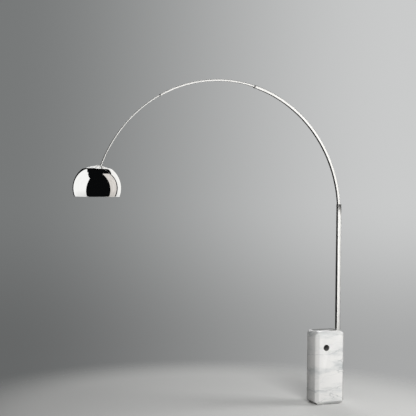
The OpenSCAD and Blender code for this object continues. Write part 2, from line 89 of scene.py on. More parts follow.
X_AXIS, Y_AXIS, Z_AXIS = (Vector(way) for way in ((1, 0, 0), (0, 1, 0), (0, 0, 1)))

Point = tuple[float, float]
Piece = bpy.types.Object
Group = bpy.types.Collection
Material = bpy.types.Material
Tree = bpy.types.NodeTree
Node = bpy.types.Node
Socket = bpy.types.NodeSocket


# ---- facts of the frame ------------------------------------------------------------


def joint_place(name: str) -> Vector:
    """Return where a joint's axis passes, in millimetres."""
    joint = next(j for j in frame["joints"] if j["name"] == name)
    return Vector(joint["pos_m"]) / MM


def mount_place(name: str) -> Vector:
    """Return where a mount of the record is, in millimetres."""
    mount = next(m for m in frame["record"]["mounts"] if m["name"] == name)
    return Vector(mount["pos_m"]) / MM


def node_box(name: str) -> tuple[Vector, Vector]:
    """Return the lowest and highest corner of a CAD node, in millimetres."""
    low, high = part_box(name)
    return low / MM, high / MM


ARC_CENTRE = joint_place("middle_arc_slide")
CAP_CENTRE = joint_place("shade_tilt")  # centre of the cap's sphere


def on_head_axis(height: float) -> Matrix:
    """Return the place at a height on the upright axis of the head."""
    return Matrix.Translation(Vector((CAP_CENTRE.x, 0, height)))


# ---- shapes ------------------------------------------------------------------------


def polar(radius: float, turn: float, height: float = 0.0) -> Vector:
    """Return the point at a radius from the Z axis, a turn in radians round it and a height."""
    return Vector((radius * math.cos(turn), radius * math.sin(turn), height))


def circle_points(centre: Point, radius: float, start: float, end: float, step: float = 2.0) -> list[Point]:
    """Return points on part of a circle.

    Args:
        centre: the circle's centre in the outline's plane.
        radius: its radius.
        start: first angle in degrees, from the upright towards the outside.
        end: last angle in degrees.
        step: largest angle between two points, in degrees.

    Returns:
        The points from start to end, both included.
    """
    count = max(2, math.ceil(abs(end - start) / step) + 1)
    angles = np.radians(np.linspace(start, end, count))
    return [(centre[0] + radius * math.sin(a), centre[1] + radius * math.cos(a)) for a in angles]


def fillet(corners: Sequence[tuple[float, float, float]]) -> list[Point]:
    """Round the corners of a closed outline.

    Args:
        corners: x, y and corner radius of each corner, in order.

    Returns:
        The rounded outline's points.
    """
    outline: list[Point] = []
    for i, (x, y, radius) in enumerate(corners):
        here = Vector((x, y))
        back = (Vector(corners[i - 1][:2]) - here).normalized()
        ahead = (Vector(corners[(i + 1) % len(corners)][:2]) - here).normalized()
        opening = back.angle(ahead)
        if radius <= 0 or opening > math.pi - 0.01:
            outline.append((x, y))
            continue
        centre = here + (back + ahead).normalized() * (radius / math.sin(opening / 2))
        reach = radius / math.tan(opening / 2)
        first = here + back * reach - centre
        turn = math.pi - opening
        if first.x * (here - centre).y - first.y * (here - centre).x < 0:
            turn = -turn
        steps = max(2, math.ceil(abs(math.degrees(turn)) / FILLET_STEP))
        for k in range(steps + 1):
            spun = Matrix.Rotation(turn * k / steps, 2) @ first
            outline.append((centre.x + spun.x, centre.y + spun.y))
    return outline


def set_shading(obj: Piece, sharp: float = SMOOTH_BELOW) -> None:
    """Shade an object smoothly, except across folds sharper than an angle in degrees."""
    obj.data.polygons.foreach_set("use_smooth", [True] * len(obj.data.polygons))
    obj.data.set_sharp_from_angle(angle=math.radians(sharp))


def place_in_scene(name: str, data: bpy.types.ID) -> Piece:
    """Put a mesh, lamp or camera into the scene.

    Args:
        name: the object's name.
        data: what the object shows.

    Returns:
        The object.
    """
    obj = bpy.data.objects.new(name, data)
    bpy.context.scene.collection.objects.link(obj)
    return obj


def new_object(name: str, vertices: Iterable[Vector], faces: Iterable[Sequence[int]]) -> Piece:
    """Make a mesh object.

    Args:
        name: name of the piece.
        vertices: its points in millimetres.
        faces: indices of each face's points.

    Returns:
        The object, with its normals outwards and coincident points joined.
    """
    mesh = bpy.data.meshes.new(name)
    mesh.from_pydata([Vector(v) * MM for v in vertices], [], list(faces))
    shape = bmesh.new()
    shape.from_mesh(mesh)
    bmesh.ops.remove_doubles(shape, verts=shape.verts, dist=SAME_POINT * MM)
    bmesh.ops.recalc_face_normals(shape, faces=shape.faces)
    shape.to_mesh(mesh)
    shape.free()
    obj = place_in_scene(name, mesh)
    set_shading(obj)
    return obj


def loft(name: str, rings: Sequence[Sequence[Vector]], closed: bool = True) -> Piece:
    """Join rings of points, each to the next.

    Args:
        name: name of the piece.
        rings: closed rings with the same number of points.
        closed: join the last ring to the first; otherwise both ends get a flat face.

    Returns:
        The mesh object.
    """
    count = len(rings[0])
    faces: list[list[int]] = []
    for k in range(len(rings) if closed else len(rings) - 1):
        low, high = k * count, (k + 1) % len(rings) * count
        for i in range(count):
            j = (i + 1) % count
            faces.append([low + i, low + j, high + j, high + i])
    if not closed:
        faces.append(list(range(count)))
        faces.append(list(range((len(rings) - 1) * count, len(rings) * count)))
    return new_object(name, [v for ring in rings for v in ring], faces)


def revolve(name: str, outline: Sequence[Point], place: Matrix, segments: int = 96) -> Piece:
    """Turn a closed outline of (radius, height) points round the Z axis of a place.

    Args:
        name: name of the piece.
        outline: the outline; points at radius zero become a pole.
        place: the axis's place, in millimetres.
        segments: number of flat sides round the axis.

    Returns:
        The mesh object.
    """
    turns = np.linspace(0, FULL_TURN, segments, endpoint=False)
    return loft(name, [[place @ polar(r, turn, h) for turn in turns] for r, h in outline])


def tube(name: str, path: Sequence[Vector], radius: float, sides: int = 10) -> Piece:
    """Carry a circle along a path, without twist.

    Args:
        name: name of the piece.
        path: points of the path, in millimetres.
        radius: the circle's radius.
        sides: number of flat sides.

    Returns:
        The mesh object, closed at both ends.
    """
    along = [(b - a).normalized() for a, b in zip(path, path[1:])]
    along.append(along[-1])
    across = along[0].orthogonal().normalized()
    rings = []
    for point, forward in zip(path, along):
        across = (across - forward * across.dot(forward)).normalized()
        beside = forward.cross(across)
        angles = [FULL_TURN * k / sides for k in range(sides)]
        rings.append([point + (across * math.cos(a) + beside * math.sin(a)) * radius for a in angles])
    return loft(name, rings, closed=False)


@dataclass(frozen=True)
class Thread:
    """A rolled screw thread on a thin shell."""

    crest: float
    depth: float
    pitch: float
    wall: float
    low: float
    high: float
    run_out: float = 2.0
    levels: int = 12  # rings of points in one pitch

    def build(self, name: str, place: Matrix, segments: int = 72) -> Piece:
        """Build the threaded shell.

        Args:
            name: name of the piece.
            place: the place whose Z axis it goes round.
            segments: number of flat sides round the axis.

        Returns:
            The mesh object.
        """
        count = math.ceil((self.high - self.low) / self.pitch * self.levels) + 1
        heights = np.linspace(self.low, self.high, count)
        rings = [self.ring(place, h, self.crest, segments) for h in heights]
        rings += [self.ring(place, h, self.crest - self.wall, segments) for h in heights[::-1]]
        return loft(name, rings)

    def ring(self, place: Matrix, height: float, crest: float, segments: int) -> list[Vector]:
        """Return one ring of the thread, whose ridge climbs one pitch in a turn.

        Args:
            place: the thread's place.
            height: the ring's height on the axis.
            crest: radius of the ridge.
            segments: number of points in the ring.

        Returns:
            The ring's points.
        """
        ends = min(height - self.low, self.high - height) / self.run_out
        cut = self.depth * min(1.0, max(0.0, ends))
        points = []
        for k in range(segments):
            turn = k / segments
            wave = 0.5 + 0.5 * math.cos(FULL_TURN * (height / self.pitch - turn))
            radius = crest - cut * (1 - wave)
            points.append(place @ polar(radius, FULL_TURN * turn, height))
        return points


def bake(obj: Piece) -> None:
    """Turn an object's modifiers into its mesh.

    Args:
        obj: the object, whose modifiers are cleared.
    """
    bpy.context.view_layer.update()
    graph = bpy.context.evaluated_depsgraph_get()
    mesh = bpy.data.meshes.new_from_object(obj.evaluated_get(graph), depsgraph=graph)
    obj.modifiers.clear()
    obj.data = mesh
    set_shading(obj)


def carve(obj: Piece, *cutters: Piece) -> None:
    """Cut closed meshes out of an object and throw the cutters away.

    Args:
        obj: the object to cut.
        cutters: the closed meshes.
    """
    for cutter in cutters:
        modifier = obj.modifiers.new("carve", "BOOLEAN")
        modifier.operation = "DIFFERENCE"
        modifier.solver = "EXACT"
        modifier.object = cutter
    bake(obj)
    for cutter in cutters:
        bpy.data.objects.remove(cutter)


def ease(obj: Piece, width: float, segments: int = 2, angle: float = SMOOTH_BELOW) -> None:
    """Round an object's edges.

    Args:
        obj: the object.
        width: width of the rounding, in millimetres.
        segments: number of flats in the rounding.
        angle: folds sharper than this many degrees are rounded.
    """
    modifier = obj.modifiers.new("ease", "BEVEL")
    modifier.width = width * MM
    modifier.segments = segments
    modifier.limit_method = "ANGLE"
    modifier.angle_limit = math.radians(angle)
    modifier.harden_normals = True
    bake(obj)


def axis_along(direction: Vector, origin: Vector) -> Matrix:
    """Return a place whose Z axis points along a direction."""
    return Matrix.Translation(origin) @ direction.to_track_quat("Z", "X").to_matrix().to_4x4()


def cylinder(name: str, place: Matrix, radius: float, low: float, high: float, sides: int = 48) -> Piece:
    """Build a plain closed cylinder, used as a cutter, along the Z axis of a place."""
    return revolve(name, [(0, low), (radius, low), (radius, high), (0, high)], place, sides)


# ---- materials ---------------------------------------------------------------------


def to_linear(code: str, alpha: float = 1.0) -> tuple[float, float, float, float]:
    """Turn an sRGB hex code into linear values.

    Args:
        code: the colour as #RRGGBB.
        alpha: passed on as it is.

    Returns:
        Linear red, green and blue, and alpha.
    """
    parts = [int(code[i : i + 2], 16) / 255 for i in (1, 3, 5)]
    red, green, blue = (p / 12.92 if p <= 0.04045 else ((p + 0.055) / 1.055) ** 2.4 for p in parts)
    return red, green, blue, alpha


def empty_tree(owner: Material | bpy.types.World) -> Tree:
    """Turn on the nodes of a material or world, and clear them.

    Args:
        owner: the material or world.

    Returns:
        Its empty node tree.
    """
    owner.use_nodes = True
    owner.node_tree.nodes.clear()
    return owner.node_tree


def add_node(
    tree: Tree, kind: str, inputs: dict[str | int, Any] | None = None, **settings: Any
) -> Node:
    """Add a shader node with its settings and links.

    Args:
        tree: the node tree.
        kind: the node's type without its common prefix.
        inputs: input sockets by name or number, each with a constant or the output that feeds it.
        settings: other properties of the node.

    Returns:
        The node.
    """
    node = tree.nodes.new("ShaderNode" + kind)
    for key, value in settings.items():
        setattr(node, key, value)
    for key, value in (inputs or {}).items():
        if isinstance(value, Socket):
            tree.links.new(value, node.inputs[key])
        else:
            node.inputs[key].default_value = value
    return node


@dataclass(frozen=True)
class Finish:
    """A surface as its maker leaves it. The kinds below add their pattern in paint()."""

    name: str
    colour: str
    roughness: float
    metallic: float = 0.0
    ior: float = 1.5

    def material(self) -> Material:
        """Make the material when it is first asked for.

        Returns:
            The material, the same one each time.
        """
        if self.name in bpy.data.materials:
            return bpy.data.materials[self.name]
        material = bpy.data.materials.new(self.name)
        tree = empty_tree(material)
        inputs = {
            "Base Color": to_linear(self.colour),
            "Roughness": self.roughness,
            "Metallic": self.metallic,
            "IOR": self.ior,
        }
        shader = add_node(tree, "BsdfPrincipled", inputs)
        add_node(tree, "OutputMaterial", {"Surface": shader.outputs[0]})
        self.paint(tree, shader)
        return material

    def paint(self, tree: Tree, shader: Node) -> None:
        """Add the finish's pattern to the shader."""

    def relief(
        self, tree: Tree, shader: Node, height: Socket, depth: float
    ) -> None:
        """Raise the surface by a pattern.

        Args:
            tree: the material's nodes.
            shader: its surface shader.
            height: the pattern.
            depth: millimetres from the pattern's black to its white.
        """
        inputs = {"Height": height, "Distance": depth * MM, "Strength": 1.0}
        if shader.inputs["Normal"].is_linked:
            inputs["Normal"] = shader.inputs["Normal"].links[0].from_socket
        bump = add_node(tree, "Bump", inputs)
        tree.links.new(bump.outputs[0], shader.inputs["Normal"])

    def sheen_swing(
        self, tree: Tree, shader: Node, pattern: Socket, swing: float
    ) -> None:
        """Let the roughness follow a pattern.

        Args:
            tree: the material's nodes.
            shader: its surface shader.
            pattern: the pattern, mostly between 0.3 and 0.7.
            swing: how far the roughness goes above and below its own value.
        """
        spread = add_node(tree, "MapRange", {
            "Value": pattern,
            "From Min": 0.3,
            "From Max": 0.7,
            "To Min": max(0.0, self.roughness - swing),
            "To Max": self.roughness + swing,
        })
        tree.links.new(spread.outputs[0], shader.inputs["Roughness"])

    def tint(
        self, tree: Tree, shader: Node, amount: Socket, colour: str
    ) -> Socket:
        """Mix a second colour over the base colour.

        Args:
            tree: the material's nodes.
            shader: its surface shader.
            amount: share of the second colour.
            colour: the second colour as #RRGGBB.

        Returns:
            The mixed output.
        """
        socket = shader.inputs["Base Color"]
        below = socket.links[0].from_socket if socket.is_linked else to_linear(self.colour)
        inputs = {MIX_FACTOR: amount, MIX_A: below, MIX_B: to_linear(colour)}
        mixed = add_node(tree, "Mix", inputs, data_type="RGBA").outputs[MIXED]
        tree.links.new(mixed, socket)
        return mixed


@dataclass(frozen=True)
class Grained(Finish):
    """A surface with an even small grain: moulded, plated, glazed or cast."""

    grain: float = 1.0  # millimetres across
    depth: float = 0.01  # millimetres
    swing: float = 0.05
    second: str = ""
    patch: float = 12.0  # millimetres across a patch of the second colour

    def paint(self, tree: Tree, shader: Node) -> None:
        """Add the grain, and patches of the second colour where there is one.

        Args:
            tree: the material's nodes.
            shader: its surface shader.
        """
        place = add_node(tree, "TexCoord").outputs["Object"]
        noise = add_node(tree, "TexNoise", {"Vector": place, "Scale": 1 / (self.grain * MM), "Detail": 4.0})
        self.relief(tree, shader, noise.outputs["Fac"], self.depth)
        self.sheen_swing(tree, shader, noise.outputs["Fac"], self.swing)
        if self.second:
            cloud = add_node(tree, "TexNoise", {
                "Vector": place, "Scale": 1 / (self.patch * MM), "Detail": 5.0,
            })
            amount = add_node(tree, "MapRange", {
                "Value": cloud.outputs["Fac"], "From Min": 0.4, "From Max": 0.65,
            })
            self.tint(tree, shader, amount.outputs[0], self.second)


@dataclass(frozen=True)
class Marble(Finish):
    """White marble, sawn and polished: soft grey clouds and thin veins that rise to one side."""

    cloud: str = "#C4C7C7"
    vein: str = "#A6A9AA"
    slant: float = 33.0  # degrees the veins rise towards +X
    # scale, width and strength of each set of veins
    veins: tuple[tuple[float, float, float], ...] = ((0.5, 0.008, 0.5), (1.5, 0.007, 0.18))

    def paint(self, tree: Tree, shader: Node) -> None:
        """Add the clouds, two sets of veins and the crystals' faint sparkle.

        Args:
            tree: the material's nodes.
            shader: its surface shader.
        """
        place = add_node(tree, "TexCoord").outputs["Object"]
        warp = add_node(tree, "TexNoise", {"Vector": place, "Scale": 9.0, "Detail": 4.0})
        halves = {0: warp.outputs["Color"], 1: (0.5, 0.5, 0.5)}
        centred = add_node(tree, "VectorMath", halves, operation="SUBTRACT")
        drift = add_node(tree, "VectorMath", {0: centred.outputs[0], "Scale": 0.05}, operation="SCALE")
        bent = add_node(tree, "VectorMath", {0: place, 1: drift.outputs[0]})
        lie = (0.0, math.radians(self.slant), math.radians(12))
        layers = add_node(tree, "Mapping", {
            "Vector": bent.outputs[0], "Rotation": lie, "Scale": (2.2, 3.0, 8.5),
        })
        clouds = add_node(tree, "TexNoise", {
            "Vector": layers.outputs[0], "Scale": 1.35, "Detail": 7.0, "Roughness": 0.62,
        })
        amount = add_node(tree, "MapRange", {
            "Value": clouds.outputs["Fac"], "From Min": 0.44, "From Max": 0.72, "To Max": 0.9,
        }, interpolation_type="SMOOTHSTEP")
        self.tint(tree, shader, amount.outputs[0], self.cloud)
        for scale, width, strength in self.veins:
            field_noise = add_node(tree, "TexNoise", {
                "Vector": layers.outputs[0], "Scale": scale, "Detail": 5.0, "Roughness": 0.5,
            })
            middle = add_node(tree, "Math", {0: field_noise.outputs["Fac"], 1: 0.5}, operation="SUBTRACT")
            apart = add_node(tree, "Math", {0: middle.outputs[0]}, operation="ABSOLUTE")
            line = add_node(tree, "MapRange", {
                "Value": apart.outputs[0], "From Max": width, "To Min": strength, "To Max": 0.0,
            }, interpolation_type="SMOOTHSTEP")
            self.tint(tree, shader, line.outputs[0], self.vein)
        crystals = add_node(tree, "TexNoise", {"Vector": place, "Scale": 700.0, "Detail": 2.0})
        self.sheen_swing(tree, shader, crystals.outputs["Fac"], 0.05)
        shader.inputs["Subsurface Weight"].default_value = 0.08
        shader.inputs["Subsurface Radius"].default_value = (1.0, 1.0, 0.9)
        shader.inputs["Subsurface Scale"].default_value = 0.004


class Lay(Enum):
    """The way a belt has brushed a metal."""

    ALONG_ARC = "along the arc"
    UPRIGHT = "up and down"


@dataclass(frozen=True)
class Satin(Finish):
    """Stainless steel brushed with a fine belt. The scratches, really about 0.1 mm apart, are
    drawn 0.7 mm apart so that they can be seen: they stretch each highlight across the lay."""

    lay: Lay = Lay.UPRIGHT
    scratch: float = 0.7
    length: float = 60.0
    handled: str = "#B2B1AE"  # colour where hands have dulled it

    def paint(self, tree: Tree, shader: Node) -> None:
        """Add the scratches and a faint cloudiness of handling.

        Args:
            tree: the material's nodes.
            shader: its surface shader.
        """
        place = add_node(tree, "TexCoord").outputs["Object"]
        fine, slow = 1 / (self.scratch * MM), 1 / (self.length * MM)
        vector = place
        if self.lay is Lay.ALONG_ARC:
            out = add_node(tree, "VectorMath", {0: place, 1: ARC_CENTRE * MM}, operation="SUBTRACT")
            axes = add_node(tree, "SeparateXYZ", {0: out.outputs[0]})
            flat = add_node(tree, "CombineXYZ", {"X": axes.outputs["X"], "Z": axes.outputs["Z"]})
            radius = add_node(tree, "VectorMath", {0: flat.outputs[0]}, operation="LENGTH")
            angle = add_node(tree, "Math", {0: axes.outputs["X"], 1: axes.outputs["Z"]}, operation="ARCTAN2")
            vector = add_node(tree, "CombineXYZ", {
                "X": radius.outputs["Value"], "Y": axes.outputs["Y"], "Z": angle.outputs[0],
            }).outputs[0]
        stretched = add_node(tree, "Mapping", {"Vector": vector, "Scale": (fine, fine, slow)})
        scratches = add_node(tree, "TexNoise", {"Vector": stretched.outputs[0], "Scale": 1.0, "Detail": 3.0})
        self.relief(tree, shader, scratches.outputs["Fac"], 0.006)
        self.sheen_swing(tree, shader, scratches.outputs["Fac"], 0.07)
        cloud = add_node(tree, "TexNoise", {"Vector": place, "Scale": 14.0, "Detail": 3.0})
        amount = add_node(tree, "MapRange", {"Value": cloud.outputs["Fac"], "From Min": 0.4, "To Max": 0.25})
        self.tint(tree, shader, amount.outputs[0], self.handled)


@dataclass(frozen=True)
class Spun(Finish):
    """Metal spun on a former and polished: a mirror with faint rings about the lamp's axis."""

    ring: float = 1.6  # millimetres between rings
    depth: float = 0.0006
    wave: float = 0.02

    def paint(self, tree: Tree, shader: Node) -> None:
        """Add the rings, the slow waves of the sheet and a trace of haze.

        Args:
            tree: the material's nodes.
            shader: its surface shader.
        """
        place = add_node(tree, "TexCoord").outputs["Object"]
        out = add_node(tree, "VectorMath", {0: place, 1: CAP_CENTRE * MM}, operation="SUBTRACT")
        axes = add_node(tree, "SeparateXYZ", {0: out.outputs[0]})
        flat = add_node(tree, "CombineXYZ", {"X": axes.outputs["X"], "Y": axes.outputs["Y"]})
        radius = add_node(tree, "VectorMath", {0: flat.outputs[0]}, operation="LENGTH")
        profile = add_node(tree, "CombineXYZ", {"X": radius.outputs["Value"], "Y": axes.outputs["Z"]})
        rings = add_node(tree, "TexNoise", {
            "Vector": profile.outputs[0], "Scale": 1 / (self.ring * MM), "Detail": 2.0,
        })
        self.relief(tree, shader, rings.outputs["Fac"], self.depth)
        waves = add_node(tree, "TexNoise", {"Vector": place, "Scale": 14.0, "Detail": 1.0})
        self.relief(tree, shader, waves.outputs["Fac"], self.wave)
        self.sheen_swing(tree, shader, rings.outputs["Fac"], self.roughness * 0.4)


@dataclass(frozen=True)
class Felt(Finish):
    """Pressed wool felt: matted fibres that catch light at the edge."""

    fibre_end: str = "#4A4A48"

    def paint(self, tree: Tree, shader: Node) -> None:
        """Add the fibres and the sheen of their ends.

        Args:
            tree: the material's nodes.
            shader: its surface shader.
        """
        place = add_node(tree, "TexCoord").outputs["Object"]
        fibres = add_node(tree, "TexNoise", {
            "Vector": place, "Scale": 900.0, "Detail": 6.0, "Distortion": 2.5,
        })
        self.relief(tree, shader, fibres.outputs["Fac"], 0.3)
        self.tint(tree, shader, fibres.outputs["Fac"], self.fibre_end)
        shader.inputs["Sheen Weight"].default_value = 0.5


@dataclass(frozen=True)
class Glass(Finish):
    """Blown soda-lime glass: clear, with the slow ripple of the blow mould."""

    def paint(self, tree: Tree, shader: Node) -> None:
        """Let light through and add the ripple.

        Args:
            tree: the material's nodes.
            shader: its surface shader.
        """
        shader.inputs["Transmission Weight"].default_value = 1.0
        place = add_node(tree, "TexCoord").outputs["Object"]
        ripple = add_node(tree, "TexNoise", {"Vector": place, "Scale": 45.0, "Detail": 1.0})
        self.relief(tree, shader, ripple.outputs["Fac"], 0.02)


MARBLE = Marble("polished white marble", "#E9E8E6", 0.16, ior=1.5)
# the dark grey of the drilled wall is painted shade of the lifting hole; only its roughness is the drill's
DRILLED_AND_SHADED = Grained("core drilled marble, painted shade", "#6E6D6A", 0.85, grain=1.5, depth=0.08, swing=0.05, second="#5A5A58")
STEEL_ARC = Satin("satin steel, along the arc", "#C9C8C5", 0.30, metallic=1.0, lay=Lay.ALONG_ARC)
STEEL_UPRIGHT = Satin("satin steel, upright", "#C9C8C5", 0.30, metallic=1.0, lay=Lay.UPRIGHT)
MIRROR = Spun("mirror polished aluminium", "#EBEBEA", 0.035, metallic=1.0)
CAP_METAL = Spun("polished aluminium cap", "#E6E6E4", 0.06, metallic=1.0, ring=1.0, depth=0.001)
ENAMEL = Grained("white stoved enamel", "#F1EFEA", 0.32, grain=2.5, depth=0.012, swing=0.04)
TURNED = Grained("turned stainless steel", "#BDBCB8", 0.26, metallic=1.0, grain=0.8, depth=0.004)
ZINC = Grained(
    "bright zinc plate", "#B4B6B8", 0.36, metallic=1.0, grain=1.2, depth=0.006, swing=0.08, second="#A3A79C"
)
# black painted shade for the inside of the cap and the walls of its vents
SHADE_BLACK = Grained("black painted shade", "#0B0B0B", 0.4, grain=2.0, depth=0.01)
NYLON = Grained("moulded black nylon", "#1B1B1C", 0.55, ior=1.53, grain=0.5, depth=0.02, swing=0.06)
LEAD = Grained("soft vinyl sheath", "#D8D6D0", 0.42, ior=1.53, grain=3.0, depth=0.02, second="#CFCCC4")
PHENOLIC = Grained(
    "moulded phenolic resin", "#161414", 0.24, ior=1.63, grain=3.0, depth=0.008, swing=0.05, second="#221D1B"
)
PORCELAIN = Grained("glazed porcelain", "#ECE9E1", 0.12, ior=1.5, grain=2.0, depth=0.006, swing=0.03)
BRASS = Grained(
    "pressed brass", "#C8A45A", 0.27, metallic=1.0, grain=1.0, depth=0.004, swing=0.08, second="#A98545"
)
NICKEL = Grained(
    "nickel plated cap", "#CBC8C0", 0.22, metallic=1.0, grain=1.0, depth=0.004, swing=0.06, second="#BBB7AC"
)
TUNGSTEN = Grained("tungsten wire", "#6E6C6A", 0.42, metallic=1.0, grain=0.3, depth=0.01)
VITRITE = Grained("black glass insulator", "#0C0C0D", 0.15, ior=1.6, grain=1.5, depth=0.01, swing=0.04)
CLEAR = Glass("soda-lime glass", "#FFFFFF", 0.0, ior=1.52)
FELT = Felt("pressed wool felt", "#2B2B2A", 0.95)
WALL_PAINT = Grained("matt floor paint", "#D6D6D4", 0.75, grain=3.0, depth=0.05, swing=0.05)


# ---- pieces ------------------------------------------------------------------------


def dress(obj: Piece, finish: Finish, body: str, slot: str, *nodes: str) -> Piece:
    """Give a piece its finish and its place in the frame.

    Args:
        obj: the piece.
        finish: its surface.
        body: the body that it moves with.
        slot: its material slot in the record; not used.
        nodes: the CAD nodes that it stands for.

    Returns:
        The same piece.
    """
    obj.data.materials.clear()
    obj.data.materials.append(finish.material())
    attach(obj, body)
    if nodes:
        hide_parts(*nodes)
    log.info("%s: %s, rides %s", obj.name, finish.name, body)
    return obj


def coat(finish: Finish, *nodes: str) -> None:
    """Give CAD nodes that are shown as they are their finish.

    Args:
        finish: their surface.
        nodes: the nodes' names.
    """
    for name in nodes:
        node = frame["nodes"][name]
        node.data.materials.clear()
        node.data.materials.append(finish.material())
        log.info("%s: %s", name, finish.name)


def channel(depth: float, width: float, wall: float, slot: float, corner: float) -> list[Point]:
    """Return the outline of a lipped channel: its back at 0, its slot facing inwards.

    Args:
        depth: size from the back to the slot.
        width: size across.
        wall: wall thickness.
        slot: width of the slot.
        corner: outer corner radius.

    Returns:
        Outline points: distance outwards and distance across.
    """
    half, lip, inner, edge = width / 2, slot / 2, corner - wall, wall * 0.3
    side = [
        (-depth, lip, edge),
        (-depth, half, corner),
        (0.0, half, corner),
        (0.0, -half, corner),
        (-depth, -half, corner),
        (-depth, -lip, edge),
        (wall - depth, -lip, edge),
        (wall - depth, wall - half, inner),
        (-wall, wall - half, inner),
        (-wall, half - wall, inner),
        (wall - depth, half - wall, inner),
        (wall - depth, lip, edge),
    ]
    return fillet(side)


def on_arc(radius: float, angle: float, across: float = 0.0) -> Vector:
    """Return the point at a radius and an angle in degrees from the top of the arc towards +X."""
    turn = math.radians(angle)
    return ARC_CENTRE + Vector((radius * math.sin(turn), across, radius * math.cos(turn)))


@dataclass
class StoneBase:
    """The marble block: bevelled on every edge, with a lifting hole and a groove for the column."""

    length: float = 240.0
    width: float = 180.0
    bottom: float = 2.0
    top: float = 550.0
    bevel: float = 25.0
    hole_radius: float = 23.0
    hole_ease: float = 1.5
    groove_floor: float = 200.0
    groove_side: float = 15.5
    groove_back: float = 87.5
    anchor_radius: float = 7.05
    anchor_depth: float = 43.0
    bolt_heights: tuple[float, float] = (280.0, 360.0)
    arris: float = 0.9  # rounding of every edge
    past: float = 2.0  # how far the drill starts outside the block

    def blank(self) -> Piece:
        """Build the sawn block with its 45 degree bevels.

        Returns:
            The block, uncut.
        """
        size = (self.length / 2, self.width / 2, (self.top - self.bottom) / 2)
        middle = Vector((0, 0, self.bottom + size[2]))
        shape = bmesh.new()
        for signs in np.ndindex(2, 2, 2):
            way = [1 - 2 * s for s in signs]
            insets = [[0 if axis == face else self.bevel for axis in range(3)] for face in range(3)]
            insets.append([self.bevel / 2] * 3)
            for inset in insets:
                corner = Vector([way[k] * (size[k] - inset[k]) for k in range(3)])
                shape.verts.new((middle + corner) * MM)
        bmesh.ops.convex_hull(shape, input=shape.verts)
        bmesh.ops.dissolve_limit(shape, angle_limit=0.01, verts=shape.verts, edges=shape.edges)
        mesh = bpy.data.meshes.new("marble_block")
        shape.to_mesh(mesh)
        shape.free()
        return place_in_scene("marble_block", mesh)

    def hole_cutter(self) -> Piece:
        """Build the drill for the lifting hole, wider at both mouths.

        Returns:
            The cutter.
        """
        half, radius, end = self.width / 2, self.hole_radius, self.width / 2 + self.past
        side = [(radius + self.hole_ease + self.past, end), (radius, half - self.hole_ease)]
        outline = [(0, end)] + side + [(r, -h) for r, h in reversed(side)] + [(0, -end)]
        return revolve("lifting_drill", outline, axis_along(Y_AXIS, mount_place("lifting_hole")))

    def groove_cutter(self) -> Piece:
        """Build the saw cut for the column's groove.

        Returns:
            The cutter.
        """
        above = 60.0
        ring = [(self.groove_back, -self.groove_side), (self.groove_back, self.groove_side)]
        ring += [(self.length, self.groove_side), (self.length, -self.groove_side)]
        heights = (self.groove_floor, self.top + above)
        return loft("groove_saw", [[Vector((x, y, z)) for x, y in ring] for z in heights], closed=False)

    def shade_drilled_bore(self, block: Piece) -> None:
        """Give the lifting hole's wall a rough drilled finish and a dark grey colour that is painted shade of
        the hole.

        Args:
            block: the finished block.
        """
        block.data.materials.append(DRILLED_AND_SHADED.material())
        hole = mount_place("lifting_hole") * MM
        slack, upright = 0.3, 0.2  # millimetres off the wall, and how far a wall face may lean to +Y
        for face in block.data.polygons:
            away = Vector((face.center.x - hole.x, face.center.z - hole.z)).length / MM
            if away < self.hole_radius + slack and abs(face.normal.y) < upright:
                face.material_index = 1

    def build(self) -> None:
        """Build the block and its felt."""
        block = self.blank()
        carve(block, self.groove_cutter(), self.hole_cutter())
        start = self.groove_back - self.anchor_depth
        ways = [axis_along(X_AXIS, Vector((start, 0, z))) for z in self.bolt_heights]
        depth = self.anchor_depth + 5
        carve(block, *[cylinder("anchor_drill", way, self.anchor_radius, 0, depth) for way in ways])
        ease(block, self.arris, segments=3)
        dress(block, MARBLE, "stand", "stone", "stone_base")
        self.shade_drilled_bore(block)
        coat(FELT, "base_felt")
        coat(ZINC, "stone_anchors")


@dataclass
class Column:
    """The square steel column that stands in the block's groove."""

    side: float = 30.0
    wall: float = 1.5
    slot: float = 12.0
    corner: float = 3.0
    outer_face: float = 117.5
    foot: float = 200.0
    top: float = 1500.0
    plug_heights: tuple[float, float] = (280.0, 360.0)
    plug_radius: float = 8.0
    grommet: tuple[float, float, float] = (2.3, 222.0, 4.0)  # across, height, radius
    lock_radius: float = 3.06
    drill: float = 12.0  # length of each drill, half of it inside

    def build(self) -> None:
        """Build the channel with its holes, and dress what is fixed in it."""
        section = channel(self.side, self.side, self.wall, self.slot, self.corner)
        margin = 100.0  # from each end to the first cross section inside
        stations = [self.foot, *np.linspace(self.foot + margin, self.top - margin, 12), self.top]
        rings = [[Vector((self.outer_face + u, v, z)) for u, v in section] for z in stations]
        column = loft("column_channel", rings, closed=False)
        back = Vector((self.outer_face - self.drill / 2, 0, 0))
        holes = [(0.0, z, self.plug_radius) for z in self.plug_heights] + [self.grommet]
        drills = [
            cylinder("column_drill", axis_along(X_AXIS, back + Vector((0, y, z))), radius, 0, self.drill)
            for y, z, radius in holes
        ]
        lock = joint_place("column_lock_turn")
        start = Vector((lock.x, self.side / 2 - self.drill / 2, lock.z))
        drills.append(cylinder("column_drill", axis_along(Y_AXIS, start), self.lock_radius, 0, self.drill))
        carve(column, *drills)
        ease(column, 0.25)
        dress(column, STEEL_UPRIGHT, "stand", "steel", "column")
        coat(NYLON, "column_access_plugs", "cable_grommet", "column_mouth_guide", "column_foot_guide")
        coat(ZINC, "column_foot_plate", "column_bolts", "column_washers")


